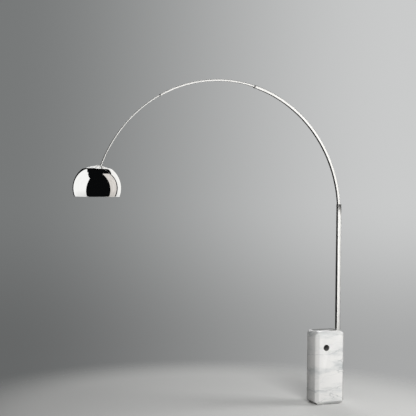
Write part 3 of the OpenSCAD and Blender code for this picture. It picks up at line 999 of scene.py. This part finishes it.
@dataclass
class ArcSection:
    """One curved channel of the arc."""

    name: str
    node: str
    body: str
    radius: float
    depth: float
    width: float
    wall: float
    slot: float
    corner: float
    start: float
    end: float
    foot: float | None = None
    lock: tuple[float, float] | None = None  # angle and radius of the lock screw's hole
    step: float = 0.75

    def stations(self) -> list[tuple[Vector, Vector]]:
        """Work out where the channel's cross sections stand.

        Returns:
            The places along the section, each with its outward direction.
        """
        count = math.ceil((self.end - self.start) / self.step)
        places = []
        for angle in np.linspace(self.start, self.end, count + 1):
            places.append((ARC_CENTRE, on_arc(1.0, angle) - ARC_CENTRE))
        if self.foot is not None:
            drop, parts = ARC_CENTRE.z - self.foot, 4
            places += [(ARC_CENTRE - Vector((0, 0, drop * k / parts)), X_AXIS) for k in range(1, parts + 1)]
        return places

    def build(self) -> Piece:
        """Build the section and its lock screw's hole.

        Returns:
            The section.
        """
        section = channel(self.depth, self.width, self.wall, self.slot, self.corner)
        rings = [
            [origin + out * (self.radius + u) + Vector((0, v, 0)) for u, v in section]
            for origin, out in self.stations()
        ]
        piece = loft(self.name, rings, closed=False)
        if self.lock:
            angle, radius = self.lock
            way = axis_along(Y_AXIS, on_arc(self.radius - self.depth / 2, angle, 2))
            carve(piece, cylinder("lock_drill", way, radius, 0, self.width))
        ease(piece, 0.2)
        return dress(piece, STEEL_ARC, self.body, "steel", self.node)


@dataclass
class LockScrew:
    """A button headed screw with a hexagon socket, set across a section's side."""

    node: str
    body: str
    middle: Vector
    shank: float
    head: float

    def build(self) -> Piece:
        """Build the screw along +Y between the limits of its node.

        Returns:
            The screw.
        """
        low, high = node_box(self.node)
        length = high.y - low.y
        rise = min(self.head * 0.56, length * 0.5)
        under = length - rise
        lead = self.shank * 0.25
        crown = [
            (self.head * math.cos(a), under + rise * (0.3 + 0.7 * math.sin(a))) for a in np.linspace(0, 1.3, 9)
        ]
        outline = [(0, 0), (self.shank - lead, 0), (self.shank, lead), (self.shank, under)]
        outline += [(self.head, under), *crown, (0, crown[-1][1])]
        way = axis_along(Y_AXIS, Vector((self.middle.x, low.y, self.middle.z)))
        screw = revolve(self.node.replace("_screw", "_button_screw"), outline, way, 48)
        carve(screw, cylinder("key", way, self.head * 0.5, length - rise * 0.75, length + 2, 6))
        return dress(screw, TURNED, self.body, "fastener", self.node)


@dataclass
class Head:
    """The perforated cap at the arc's tip, its domed nut and the bracket under it."""

    sphere: float = 171.0
    wall: float = 1.5
    half_angle: float = 40.0
    vent: float = 6.5
    bore: float = 5.05
    slot: tuple[float, float, float] = (27.8, 8.0, 7.0)  # distance, half length, half width
    clear: float = 20.0  # no vent is nearer than this to the slot's middle
    # radius, count and first bearing of each ring of vents
    rings: tuple[tuple[float, int, float], ...] = (
        (18.0, 4, 45.0), (38.0, 9, 20.0), (59.0, 14, 16.0), (80.0, 20, 2.0),
    )
    drill: float = 24.0  # length of each drill, half of it under the skin
    skin_lean: float = 0.97  # a face leaning more than this from the sphere's radius is an edge

    def vents(self) -> list[Vector]:
        """Work out where the vents are punched.

        Returns:
            Their directions from the sphere's centre.
        """
        found = []
        for radius, count, first in self.rings:
            for k in range(count):
                turn = math.radians(first + 360 * k / count)
                across = Vector((radius * math.cos(turn), radius * math.sin(turn)))
                if (across - Vector((self.slot[0], 0))).length > self.clear:
                    found.append(Vector((*across, math.sqrt(self.sphere**2 - radius**2))).normalized())
        return found

    def cap(self) -> Piece:
        """Build the spherical cap with its vents, its bore and its slot.

        Returns:
            The cap.
        """
        outer, inner = self.sphere, self.sphere - self.wall
        outline = circle_points((0, 0), outer, 0, self.half_angle)
        outline += circle_points((0, 0), inner, self.half_angle, 0)
        cap = revolve("perforated_cap", outline, Matrix.Translation(CAP_CENTRE), 180)
        near = self.sphere - self.drill / 2
        drills = [
            cylinder("vent_punch", axis_along(way, CAP_CENTRE + way * near), self.vent, 0, self.drill, 40)
            for way in self.vents()
        ]
        place = axis_along(Z_AXIS, CAP_CENTRE + Z_AXIS * near)
        drills.append(cylinder("bore_drill", place, self.bore, 0, self.drill))
        far, half, side = self.slot
        middle = Vector((CAP_CENTRE.x + far, 0, 0))
        corners = fillet([(-half, -side, 2), (half, -side, 2), (half, side, 2), (-half, side, 2)])
        top, past = CAP_CENTRE.z + self.sphere, 30.0
        mill = [[middle + Vector((x, y, z)) for x, y in corners] for z in (top - past, top + past)]
        drills.append(loft("slot_mill", mill, closed=False))
        carve(cap, *drills)
        ease(cap, 0.3)
        self.true_normals(cap)
        dress(cap, CAP_METAL, "tip_section", "cap", "shade_cap")
        # the inside of the cap and its vent walls get black painted shade
        self.paint_shade_inside(cap)
        return cap

    def true_normals(self, cap: Piece) -> None:
        """Point the normals of the cap's two skins straight out of its sphere, for a clean mirror.

        Args:
            cap: the finished cap.
        """
        mesh = cap.data
        normals = [tuple(n.vector) for n in mesh.corner_normals]
        centre = CAP_CENTRE * MM
        for face in mesh.polygons:
            out = (face.center - centre).normalized()
            lean = out.dot(face.normal)
            if abs(lean) < self.skin_lean:
                continue
            for loop in face.loop_indices:
                corner = mesh.vertices[mesh.loops[loop].vertex_index].co
                normals[loop] = tuple((corner - centre).normalized() * math.copysign(1, lean))
        mesh.normals_split_custom_set(normals)

    def paint_shade_inside(self, cap: Piece) -> None:
        """Colour the cap's inner skin and the walls of its holes black, as painted shade that keeps the vents
        dark.

        Args:
            cap: the finished cap.
        """
        cap.data.materials.append(SHADE_BLACK.material())
        centre = CAP_CENTRE * MM
        for face in cap.data.polygons:
            out = (face.center - centre).normalized()
            if out.dot(face.normal) < 0.5:
                face.material_index = 1

    def nut(self) -> Piece:
        """Build the domed nut on top of the cap.

        Returns:
            The nut.
        """
        low, high = node_box("cap_nut")
        radius = (high.x - low.x) / 2
        height = high.z - low.z
        crown = 22.0
        centre = (0.0, height - crown)
        edge = math.degrees(math.asin((radius - 0.6) / crown))
        dome = circle_points(centre, crown, 0, edge)
        outline = [*dome, (radius - 0.15, dome[-1][1] - 0.2), (radius, dome[-1][1] - 0.6), (radius, 0.2)]
        outline += [(radius - 0.2, 0), (5.1, 0), (5.1, 1.9), (0, 1.9)]
        nut = revolve("domed_nut", outline, on_head_axis(low.z))
        return dress(nut, CAP_METAL, "tip_section", "fastener", "cap_nut")

    def build(self) -> list[Piece]:
        """Build the head.

        Returns:
            Its mirror pieces.
        """
        coat(ZINC, "tip_plug", "head_bracket", "bracket_nut", "cap_spacer", "holder_nut")
        coat(BRASS, "holder_nipple")
        return [self.cap(), self.nut()]


@dataclass
class Shade:
    """The spun dome: a flat crown, a shoulder and a deep side with a rolled rim."""

    radius: float = 166.0
    wall: float = 1.2
    rim_drop: float = 57.0
    crown_radius: float = 350.0
    crown_rise: float = 146.9
    shoulder_radius: float = 25.0
    mouth: float = 84.0
    bead: float = 1.8
    bead_turn: float = 0.55  # degrees that the rim's bead takes from the end of the side
    cap_rise: float = 155.0
    cap_sphere: float = 171.0
    paint_gap: float = 0.02
    paint: float = 0.08

    @property
    def middle(self) -> Vector:
        """Centre of the dome's widest circle."""
        return CAP_CENTRE + Vector((0, 0, self.cap_sphere - self.cap_rise))

    def skin(self, inset: float) -> list[Point]:
        """Return the dome's profile from the mouth down to the rim.

        Args:
            inset: how far the profile is taken in, in millimetres.

        Returns:
            Profile points: radius, and height over the widest circle.
        """
        crown_height = self.crown_rise - self.crown_radius
        inner_crown = self.crown_radius - self.shoulder_radius
        inner_side = self.radius - self.shoulder_radius
        height = (inner_crown**2 - inner_side**2 - crown_height**2) / (-2 * crown_height)
        out = math.sqrt(inner_side**2 - height**2)
        crown_end = math.degrees(math.atan2(out, height - crown_height))
        side_start = math.degrees(math.atan2(out, height))
        side_end = math.degrees(math.acos(-self.rim_drop / self.radius)) - self.bead_turn
        crown = self.crown_radius - inset
        start = math.degrees(math.asin(self.mouth / crown))
        points = circle_points((0, crown_height), crown, start, crown_end, 0.5)
        points += circle_points((out, height), self.shoulder_radius - inset, crown_end, side_start)[1:]
        points += circle_points((0, 0), self.radius - inset, side_start, side_end, 1.0)[1:]
        return points

    def build(self) -> list[Piece]:
        """Build the dome and its painted inside.

        Returns:
            Its mirror piece.
        """
        rim = (math.sqrt(self.radius**2 - self.rim_drop**2), -self.rim_drop)
        bead = circle_points(rim, self.bead, 20, 338, 15)
        outline = [*self.skin(0), *bead, *reversed(self.skin(self.wall))]
        place = Matrix.Translation(self.middle)
        dome = dress(revolve("spun_dome", outline, place, 256), MIRROR, "shade", "dome", "reflector")
        near = self.wall + self.paint_gap
        lining = [*self.skin(near), *reversed(self.skin(near + self.paint))]
        dress(revolve("dome_enamel", lining, place, 192), ENAMEL, "shade", "dome")
        coat(ZINC, "reflector_neck")
        coat(FELT, "shade_seat")
        return [dome]


@dataclass
class LampHolder:
    """The screw lamp holder under the bracket."""

    barrel: float = 20.0
    thread_pitch: float = 2.5
    bore: float = 5.05
    lead_hole: tuple[float, float, float] = (15.6, 2.3, 1.8)  # along, across, radius

    def build(self) -> None:
        """Build the cover, the threaded barrel, the ribbed ring and the thread shell."""
        self.build_cover()
        self.build_barrel()
        self.build_ring()
        self.build_shell()
        coat(PORCELAIN, "holder_core")
        coat(BRASS, "holder_contact")

    def place(self, node: str) -> tuple[Matrix, float]:
        """Return the place of a node's underside on the holder's axis, and its height."""
        low, high = node_box(node)
        return on_head_axis(low.z), high.z - low.z

    def build_cover(self) -> None:
        """Build the cover, drilled for the nipple and the lead."""
        place, height = self.place("holder_cover")
        radius = self.barrel + 1
        inner, ceiling = radius - 2, height - 2.5
        outline = fillet([
            (self.bore, height, 0.3), (radius, height, 3.0), (radius, 0, 0.6), (inner, 0, 0.4),
            (inner, ceiling, 1.5), (self.bore, ceiling, 0.3),
        ])
        cover = revolve("holder_dome_cover", outline, place)
        along, across, lead = self.lead_hole
        under = Vector((CAP_CENTRE.x + along, across, place.translation.z + height - 6))
        carve(cover, cylinder("lead_drill", axis_along(Z_AXIS, under), lead, 0, 12, 24))
        dress(cover, PHENOLIC, "tip_section", "holder", "holder_cover")

    def build_barrel(self) -> None:
        """Build the barrel, whose lower half is threaded for the ring."""
        place, height = self.place("holder_barrel")
        thread = Thread(self.barrel, 0.9, self.thread_pitch, 2.0, 0.0, height, run_out=1.5)
        dress(thread.build("holder_screw_barrel", place), PHENOLIC, "tip_section", "holder", "holder_barrel")

    def build_ring(self) -> None:
        """Build the shade ring with ribs for the fingers."""
        place, height = self.place("holder_ring")
        ribs, rib_depth = 36, 0.28
        flange, body, bore = self.barrel + 5, self.barrel + 2.5, self.barrel + 0.05
        profile = [(bore, 0.3), (flange, 0.3), (flange, 2.7)]
        profile += [(body, 3.2), (body, height - 0.4), (bore, height)]
        rings = []
        for radius, level in profile:
            ring = []
            for k in range(ribs * 6):
                angle = FULL_TURN * k / (ribs * 6)
                rib = rib_depth * (1 - math.cos(ribs * angle)) if radius > bore else 0.0
                ring.append(place @ polar(radius - rib, angle, level))
            rings.append(ring)
        dress(loft("holder_ribbed_ring", rings), PHENOLIC, "tip_section", "holder", "holder_ring")

    def build_shell(self) -> None:
        """Build the brass shell that the bulb screws into."""
        place, height = self.place("holder_thread")
        low, high = node_box("holder_thread")
        shell = Thread((high.x - low.x) / 2, 0.35, BULB_PITCH, 0.35, 0.0, height)
        dress(shell.build("holder_thread_shell", place), BRASS, "tip_section", "brass", "holder_thread")


@dataclass
class Bulb:
    """A clear globe bulb with a coiled filament, not lit."""

    glass: float = 30.0
    wall: float = 0.7
    fillet_radius: float = 22.0
    neck: float = 12.6
    neck_top: float = 62.0
    ring: float = 12.0
    ring_height: float = 14.0
    shoulder: float = 3.0  # height of the cap's plain shoulder
    wire: float = 0.35

    def profile(self, inset: float) -> list[Point]:
        """Return the glass's profile from the pole up to the neck.

        Args:
            inset: how far the profile is taken in, in millimetres.

        Returns:
            Profile points: radius, and height over the globe's centre.
        """
        out = self.neck + self.fillet_radius
        height = math.sqrt((self.glass + self.fillet_radius) ** 2 - out**2)
        meet = math.degrees(math.atan2(out, height))
        points = circle_points((0, 0), self.glass - inset, 180, meet)
        points += circle_points((out, height), self.fillet_radius + inset, meet + 180, 270)[1:]
        return [*points, (self.neck - inset, self.neck_top)]

    def build(self) -> None:
        """Build the glass, the screw cap, the stem and the filament."""
        low, _ = node_box("bulb_glass")
        place = on_head_axis(low.z + self.glass)
        outline = [*self.profile(0), *reversed(self.profile(self.wall))]
        dress(revolve("bulb_globe", outline, place, 128), CLEAR, "bulb", "bulb_glass", "bulb_glass")
        self.build_cap()
        self.build_stem(place)
        self.build_filament(place)
        coat(VITRITE, "bulb_insulator")
        coat(NICKEL, "bulb_contact")

    def build_cap(self) -> None:
        """Build the rolled screw cap and its shoulder."""
        low, high = node_box("bulb_cap")
        place = on_head_axis(low.z)
        crest, height = (high.x - low.x) / 2, high.z - low.z
        top = height - self.shoulder
        thread = Thread(crest, 0.75, BULB_PITCH, 0.3, 0.0, top)
        dress(thread.build("bulb_screw_cap", place), NICKEL, "bulb", "bulb_metal", "bulb_cap")
        outline = fillet([
            (crest - 0.02, top - 0.3, 0.1), (crest, top, 0.2), (8.3, height, 0.8), (6.05, height, 0.2),
            (6.05, height - 0.8, 0.1), (8.0, height - 0.8, 0.4), (crest - 0.5, top - 0.3, 0.1),
        ])
        dress(revolve("bulb_cap_shoulder", outline, place), NICKEL, "bulb", "bulb_metal")

    def build_stem(self, place: Matrix) -> None:
        """Build the glass stem that carries the wires.

        Args:
            place: the globe's centre.
        """
        outline = fillet([
            (0, 8, 0), (1.6, 8, 0.8), (1.6, 24, 3), (3.2, 27, 3),
            (6.8, 55, 4), (11.6, 59, 1), (11.6, 60, 0.3), (0, 60, 0),
        ])
        dress(revolve("bulb_glass_stem", outline, place, 48), CLEAR, "bulb", "bulb_glass", "bulb_stem")

    def build_filament(self, place: Matrix) -> None:
        """Build the coiled wire ring and its two leads.

        Args:
            place: the globe's centre.
        """
        coils, coil, coil_wire, sweep_angle, parts = 90, 0.55, 0.14, 300.0, 10
        path = []
        for k in range(coils * parts + 1):
            along = math.radians(sweep_angle * k / (coils * parts))
            turn = FULL_TURN * k / parts
            radius = self.ring + coil * math.cos(turn)
            height = self.ring_height + coil * math.sin(turn)
            path.append(place @ polar(radius, along, height))
        dress(tube("bulb_coil", path, coil_wire, 6), TUNGSTEN, "bulb", "bulb_metal", "bulb_filament")
        for side, degrees in (("a", 2.0), ("b", 298.0)):
            out = polar(1.0, math.radians(degrees))
            bends = [(self.ring, self.ring_height), (10.5, 17.5), (7.0, 22.5), (4.2, 27.0), (3.3, 30.0)]
            points = [place @ (out * r + Vector((0, 0, h))) for r, h in bends]
            dress(tube("bulb_wire_" + side, points, self.wire), NICKEL, "bulb", "bulb_metal")


# ---- studio ------------------------------------------------------------------------


@dataclass(frozen=True)
class Card:
    """A glowing card that only the mirror pieces see, curved round the head.

    Each edge gives a bearing in degrees, the lean of the edge per degree of elevation, and the
    elevation of the card's top there. Bearing 0 is straight in front, and it grows to the right.
    """

    name: str
    colour: str
    glow: float
    edges: tuple[tuple[float, float, float], ...]
    bottom: float = -60.0
    streaks: float = 0.0
    foot: float = 0.76  # share of the glow that is left at the card's foot
    distance: float = 9.0  # metres; a farther card is seen past a nearer one's edge


@dataclass(frozen=True)
class SoftBox:
    """A square soft light aimed at the lamp. Azimuth 0 stands on -Y and 90 on +X."""

    name: str
    azimuth: float
    elevation: float
    power: float
    size: float = 2.6
    distance: float = 4.2
    aim: tuple[float, float, float] = (-0.85, 0.0, 1.2)


@dataclass
class Studio:
    """Floor, backdrop, lights and camera."""

    camera_place: Vector = field(default_factory=lambda: Vector((-3.7748, -7.0074, 1.6444)))
    yaw: float = 21.852
    pitch: float = -1.306
    roll: float = 0.487
    lens: float = 90.87
    cards: tuple[Card, ...] = (
        Card("left_card", "#FFFFFE", 1.10, (
            (-50.5, 0.17, 43.5), (-70.0, 0.1, 53.0), (-92.0, 0.0, 61.0),
            (-134.0, 0.0, 54.0), (-146.0, 0.0, 47.0),
        ), streaks=0.03),
        Card("right_card", "#E0DBD6", 1.08, (
            (67.5, -0.13, 65.0), (76.0, -0.13, 65.0), (92.0, -0.06, 58.0), (109.5, 0.0, 48.0),
        ), streaks=0.14),
        Card("far_right_card", "#FBFAF8", 1.1, (
            (117.5, -0.03, 41.0), (140.0, 0.0, 40.0), (181.0, 0.0, 40.0),
        ), foot=0.66),
    )
    top_card: Card = Card(
        "top_card", "#FFFFFF", 1.1, ((135.0, 0.0, 84.0), (225.0, 0.0, 84.0)), bottom=8.0, distance=9.8
    )
    steel_lights: tuple[SoftBox, ...] = (
        SoftBox("steel_front", 24.0, 4.0, 76.0, size=3.2),
        SoftBox("steel_right", 96.0, 12.0, 24.0),
        SoftBox("steel_back", 172.0, 14.0, 24.0),
        SoftBox("steel_left", -125.0, 10.0, 15.0),
        SoftBox("steel_top", 10.0, 82.0, 24.0),
        SoftBox("steel_low", -10.0, -62.0, 14.0),
    )
    stone_lights: tuple[SoftBox, ...] = (
        SoftBox("stone_key", -14.0, 24.0, 124.0, size=1.6, aim=(0.0, 0.0, 0.4)),
        SoftBox("stone_right", 70.0, 24.0, 102.0, size=2.0, aim=(0.0, 0.0, 0.4)),
        SoftBox("stone_back", 165.0, 35.0, 50.0, size=2.6, aim=(0.0, 0.0, 0.4)),
    )

    left_side: str = "#777979"  # backdrop as the camera sees it, from left to right and at its foot; the darker left is painted shade
    right_side: str = "#CACBCB"
    low_side: str = "#333333"
    fill: str = "#545556"  # what matt surfaces see round them
    dark_room: str = "#0A0B0C"  # what mirrors see between the cards
    middle: float = -850.0  # millimetres along X to the middle of the floor, under the arc

    def bearing(self, degrees: float, elevation: float) -> Vector:
        """Return a direction from the head.

        Args:
            degrees: bearing from the camera, growing to the right.
            elevation: degrees over the level.

        Returns:
            The direction, of length one.
        """
        toward = (self.camera_place - CAP_CENTRE * MM).xy.normalized()
        right = Vector((-toward.y, toward.x))
        a, e = math.radians(degrees), math.radians(elevation)
        flat = (toward * math.cos(a) + right * math.sin(a)) * math.cos(e)
        return Vector((flat.x, flat.y, math.sin(e)))

    def build_card(self, card: Card, receivers: Group) -> None:
        """Build one glowing card.

        Args:
            card: its shape and glow.
            receivers: the only pieces that see it.
        """
        rows = 24
        steps = 6
        columns = []
        for (az0, lean0, top0), (az1, lean1, top1) in zip(card.edges, card.edges[1:]):
            for k in range(steps):
                t = k / steps
                columns.append((az0 + (az1 - az0) * t, lean0 + (lean1 - lean0) * t, top0 + (top1 - top0) * t))
        columns.append(card.edges[-1])
        vertices, faces = [], []
        for azimuth, lean, top in columns:
            for k in range(rows + 1):
                elevation = card.bottom + (top - card.bottom) * k / rows
                way = self.bearing(azimuth + lean * elevation, elevation)
                vertices.append(CAP_CENTRE + way * (card.distance / MM))
        for c in range(len(columns) - 1):
            for k in range(rows):
                a = c * (rows + 1) + k
                faces.append([a, a + rows + 1, a + rows + 2, a + 1])
        sheet = new_object(card.name, vertices, faces)
        sheet.data.materials.append(self.card_material(card))
        for ray in ("camera", "diffuse", "transmission", "volume_scatter", "shadow"):
            setattr(sheet, "visible_" + ray, False)
        sheet.light_linking.receiver_collection = receivers

    def card_material(self, card: Card) -> Material:
        """Build a card's glow, dimmer at its foot and with soft upright streaks where it has them.

        Args:
            card: the card.

        Returns:
            Its material.
        """
        material = bpy.data.materials.new(card.name)
        material.cycles.emission_sampling = "NONE"
        tree = empty_tree(material)
        place = add_node(tree, "TexCoord").outputs["Object"]
        axes = add_node(tree, "SeparateXYZ", {0: place})
        low = CAP_CENTRE.z * MM - 0.55 * card.distance
        rise = add_node(tree, "MapRange", {
            "Value": axes.outputs["Z"], "From Min": low, "From Max": low + 4.0,
            "To Min": card.glow * card.foot, "To Max": card.glow,
        })
        strength = rise.outputs[0]
        if card.streaks:
            upright = add_node(tree, "Mapping", {"Vector": place, "Scale": (1.3, 1.3, 0.05)})
            bands = add_node(tree, "TexNoise", {"Vector": upright.outputs[0], "Scale": 1.0, "Detail": 2.0})
            swing = add_node(tree, "MapRange", {
                "Value": bands.outputs["Fac"], "From Min": 0.3, "From Max": 0.7,
                "To Min": 1 - card.streaks, "To Max": 1 + card.streaks,
            })
            both = {0: strength, 1: swing.outputs[0]}
            strength = add_node(tree, "Math", both, operation="MULTIPLY").outputs[0]
        glow = add_node(tree, "Emission", {"Color": to_linear(card.colour), "Strength": strength})
        add_node(tree, "OutputMaterial", {"Surface": glow.outputs[0]})
        return material

    def build_light(
        self, box: SoftBox, receivers: Group, blockers: Group | None = None
    ) -> None:
        """Build one soft light.

        Args:
            box: where it stands and how strong it is.
            receivers: the pieces that it lights.
            blockers: the only pieces that shade it, or None for all.
        """
        lamp = bpy.data.lights.new(box.name, "AREA")
        lamp.shape = "SQUARE"
        lamp.size = box.size
        lamp.energy = box.power
        light = place_in_scene(box.name, lamp)
        a, e = math.radians(box.azimuth), math.radians(box.elevation)
        way = Vector((math.sin(a) * math.cos(e), -math.cos(a) * math.cos(e), math.sin(e)))
        light.location = Vector(box.aim) + way * box.distance
        light.rotation_euler = way.to_track_quat("Z", "Y").to_euler()
        light.visible_camera = False
        light.light_linking.receiver_collection = receivers
        if blockers:
            light.light_linking.blocker_collection = blockers

    def build_floor(self) -> Piece:
        """Build the pale floor, which fades into the backdrop away from the lamp.

        Returns:
            The floor.
        """
        segments, reach = 96, 3600.0
        ring = [
            Vector((reach * math.cos(a) + self.middle, reach * math.sin(a), 0))
            for a in np.linspace(0, FULL_TURN, segments, endpoint=False)
        ]
        floor = new_object("studio_floor", ring, [list(range(segments))])
        material = WALL_PAINT.material()
        tree = material.node_tree
        shader = next(n for n in tree.nodes if n.bl_idname == "ShaderNodeBsdfPrincipled")
        output = next(n for n in tree.nodes if n.bl_idname == "ShaderNodeOutputMaterial")
        place = add_node(tree, "TexCoord").outputs["Object"]
        out = add_node(tree, "VectorMath", {0: place, 1: (self.middle * MM, 0.0, 0.0)}, operation="DISTANCE")
        fade = add_node(tree, "MapRange", {
            "Value": out.outputs["Value"], "From Min": 1.35, "From Max": 2.3,
        }, interpolation_type="SMOOTHSTEP")
        clear = add_node(tree, "BsdfTransparent")
        mixed = add_node(tree, "MixShader", {0: fade.outputs[0], 1: shader.outputs[0], 2: clear.outputs[0]})
        tree.links.new(mixed.outputs[0], output.inputs["Surface"])
        floor.data.materials.append(material)
        floor.visible_glossy = False
        return floor

    def build_backdrop(self) -> None:
        """Build the plain backdrop: mid grey, darker to the left as painted shade, and a low even fill for
        matt surfaces.
        """
        world = bpy.data.worlds.new("backdrop")
        bpy.context.scene.world = world
        tree = empty_tree(world)
        way = add_node(tree, "TexCoord").outputs["Generated"]
        right = Vector((math.cos(math.radians(self.yaw)), -math.sin(math.radians(self.yaw)), 0))
        across = add_node(tree, "VectorMath", {0: way, 1: right}, operation="DOT_PRODUCT")
        shift = add_node(tree, "MapRange", {
            "Value": across.outputs["Value"], "From Min": -0.2, "From Max": 0.2,
        }, interpolation_type="SMOOTHSTEP")
        sides = {
            MIX_FACTOR: shift.outputs[0], MIX_A: to_linear(self.left_side), MIX_B: to_linear(self.right_side),
        }
        level = add_node(tree, "Mix", sides, data_type="RGBA")
        up = add_node(tree, "SeparateXYZ", {0: way})
        foot = add_node(tree, "MapRange", {
            "Value": up.outputs["Z"], "From Min": -0.16, "From Max": -0.01, "To Min": 0.36, "To Max": 0.0,
        }, interpolation_type="SMOOTHSTEP")
        lower = {MIX_FACTOR: foot.outputs[0], MIX_A: level.outputs[MIXED], MIX_B: to_linear(self.low_side)}
        seen = add_node(tree, "Mix", lower, data_type="RGBA")
        rays = add_node(tree, "LightPath")
        dark = add_node(tree, "Mix", {
            MIX_FACTOR: rays.outputs["Is Glossy Ray"],
            MIX_A: to_linear(self.fill),
            MIX_B: to_linear(self.dark_room),
        }, data_type="RGBA")
        shown = add_node(tree, "Mix", {
            MIX_FACTOR: rays.outputs["Is Camera Ray"], MIX_A: dark.outputs[MIXED], MIX_B: seen.outputs[MIXED],
        }, data_type="RGBA")
        sky = add_node(tree, "Background", {"Color": shown.outputs[MIXED], "Strength": 1.0})
        add_node(tree, "OutputWorld", {"Surface": sky.outputs[0]})

    def build_camera(self) -> None:
        """Build the camera at the lamp's usual viewing angle, with everything in focus."""
        yaw, pitch, roll = (math.radians(v) for v in (self.yaw, self.pitch, self.roll))
        forward = Vector((math.sin(yaw) * math.cos(pitch), math.cos(yaw) * math.cos(pitch), math.sin(pitch)))
        right = Vector((math.cos(yaw), -math.sin(yaw), 0))
        up = right.cross(forward)
        side = right * math.cos(roll) + up * math.sin(roll)
        top = up * math.cos(roll) - right * math.sin(roll)
        data = bpy.data.cameras.new("camera")
        data.sensor_width = 36
        data.lens = self.lens
        data.clip_end = 200
        camera = place_in_scene("camera", data)
        turn = Matrix((side, top, -forward)).transposed().to_4x4()
        camera.matrix_world = Matrix.Translation(self.camera_place) @ turn
        bpy.context.scene.camera = camera

    def build(self, mirrors: Sequence[Piece]) -> None:
        """Build the studio round the finished lamp.

        Args:
            mirrors: the pieces that see only the cards.
        """
        floor = self.build_floor()
        groups = {name: bpy.data.collections.new(name) for name in ("mirrors", "caps", "stone", "metal")}
        for obj in mirrors:
            groups["mirrors"].objects.link(obj)
            if obj["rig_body"] != "shade":
                groups["caps"].objects.link(obj)
        stone = [bpy.data.objects["marble_block"], frame["nodes"]["base_felt"], floor]
        for obj in stone:
            groups["stone"].objects.link(obj)
        for obj in bpy.context.scene.objects:
            if obj.type == "MESH" and obj not in mirrors and obj not in stone:
                groups["metal"].objects.link(obj)
        for card in self.cards:
            self.build_card(card, groups["mirrors"])
        self.build_card(self.top_card, groups["caps"])
        for light in self.steel_lights:
            self.build_light(light, groups["metal"], groups["metal"])
        for light in self.stone_lights:
            self.build_light(light, groups["stone"])
        self.build_backdrop()
        self.build_camera()
        bpy.context.scene.view_settings.view_transform = "Standard"
        lights = len(self.steel_lights) + len(self.stone_lights)
        log.info("studio: %d cards, %d lights", len(self.cards) + 1, lights)


def main() -> None:
    """Build the lamp from the floor up, then the studio round it."""
    logging.basicConfig(level=logging.INFO, format="%(message)s")
    StoneBase().build()
    Column().build()
    ArcSection(
        "lower_arc_channel", "lower_arc", "stand", 972.0, 20.0, 24.0, 1.5, 10.0, 2.5, 15.0, 90.0,
        foot=1250.0, lock=(16.7, 2.06),
    ).build()
    ArcSection(
        "middle_arc_channel", "middle_arc", "middle_section", 970.0, 13.0, 18.0, 1.2, 8.0, 2.0, -30.0, 23.0,
        lock=(-28.3, 2.06),
    ).build()
    ArcSection(
        "tip_arc_channel", "tip_arc", "tip_section", 968.4, 9.0, 12.0, 1.2, 5.0, 2.0, -71.9, -22.0,
    ).build()
    coat(NYLON, "lower_arc_guide", "middle_arc_glide", "middle_arc_guide", "tip_arc_glide")
    coat(LEAD, "lower_lead", "middle_lead", "tip_lead")
    for body, shank, head in (("column_lock", 3.0, 5.0), ("middle_lock", 2.0, 3.5), ("tip_lock", 2.0, 3.2)):
        LockScrew(body + "_screw", body, joint_place(body + "_turn"), shank, head).build()
    mirrors = Head().build() + Shade().build()
    LampHolder().build()
    Bulb().build()
    Studio().build(mirrors)


if __name__ == "__main__":
    main()
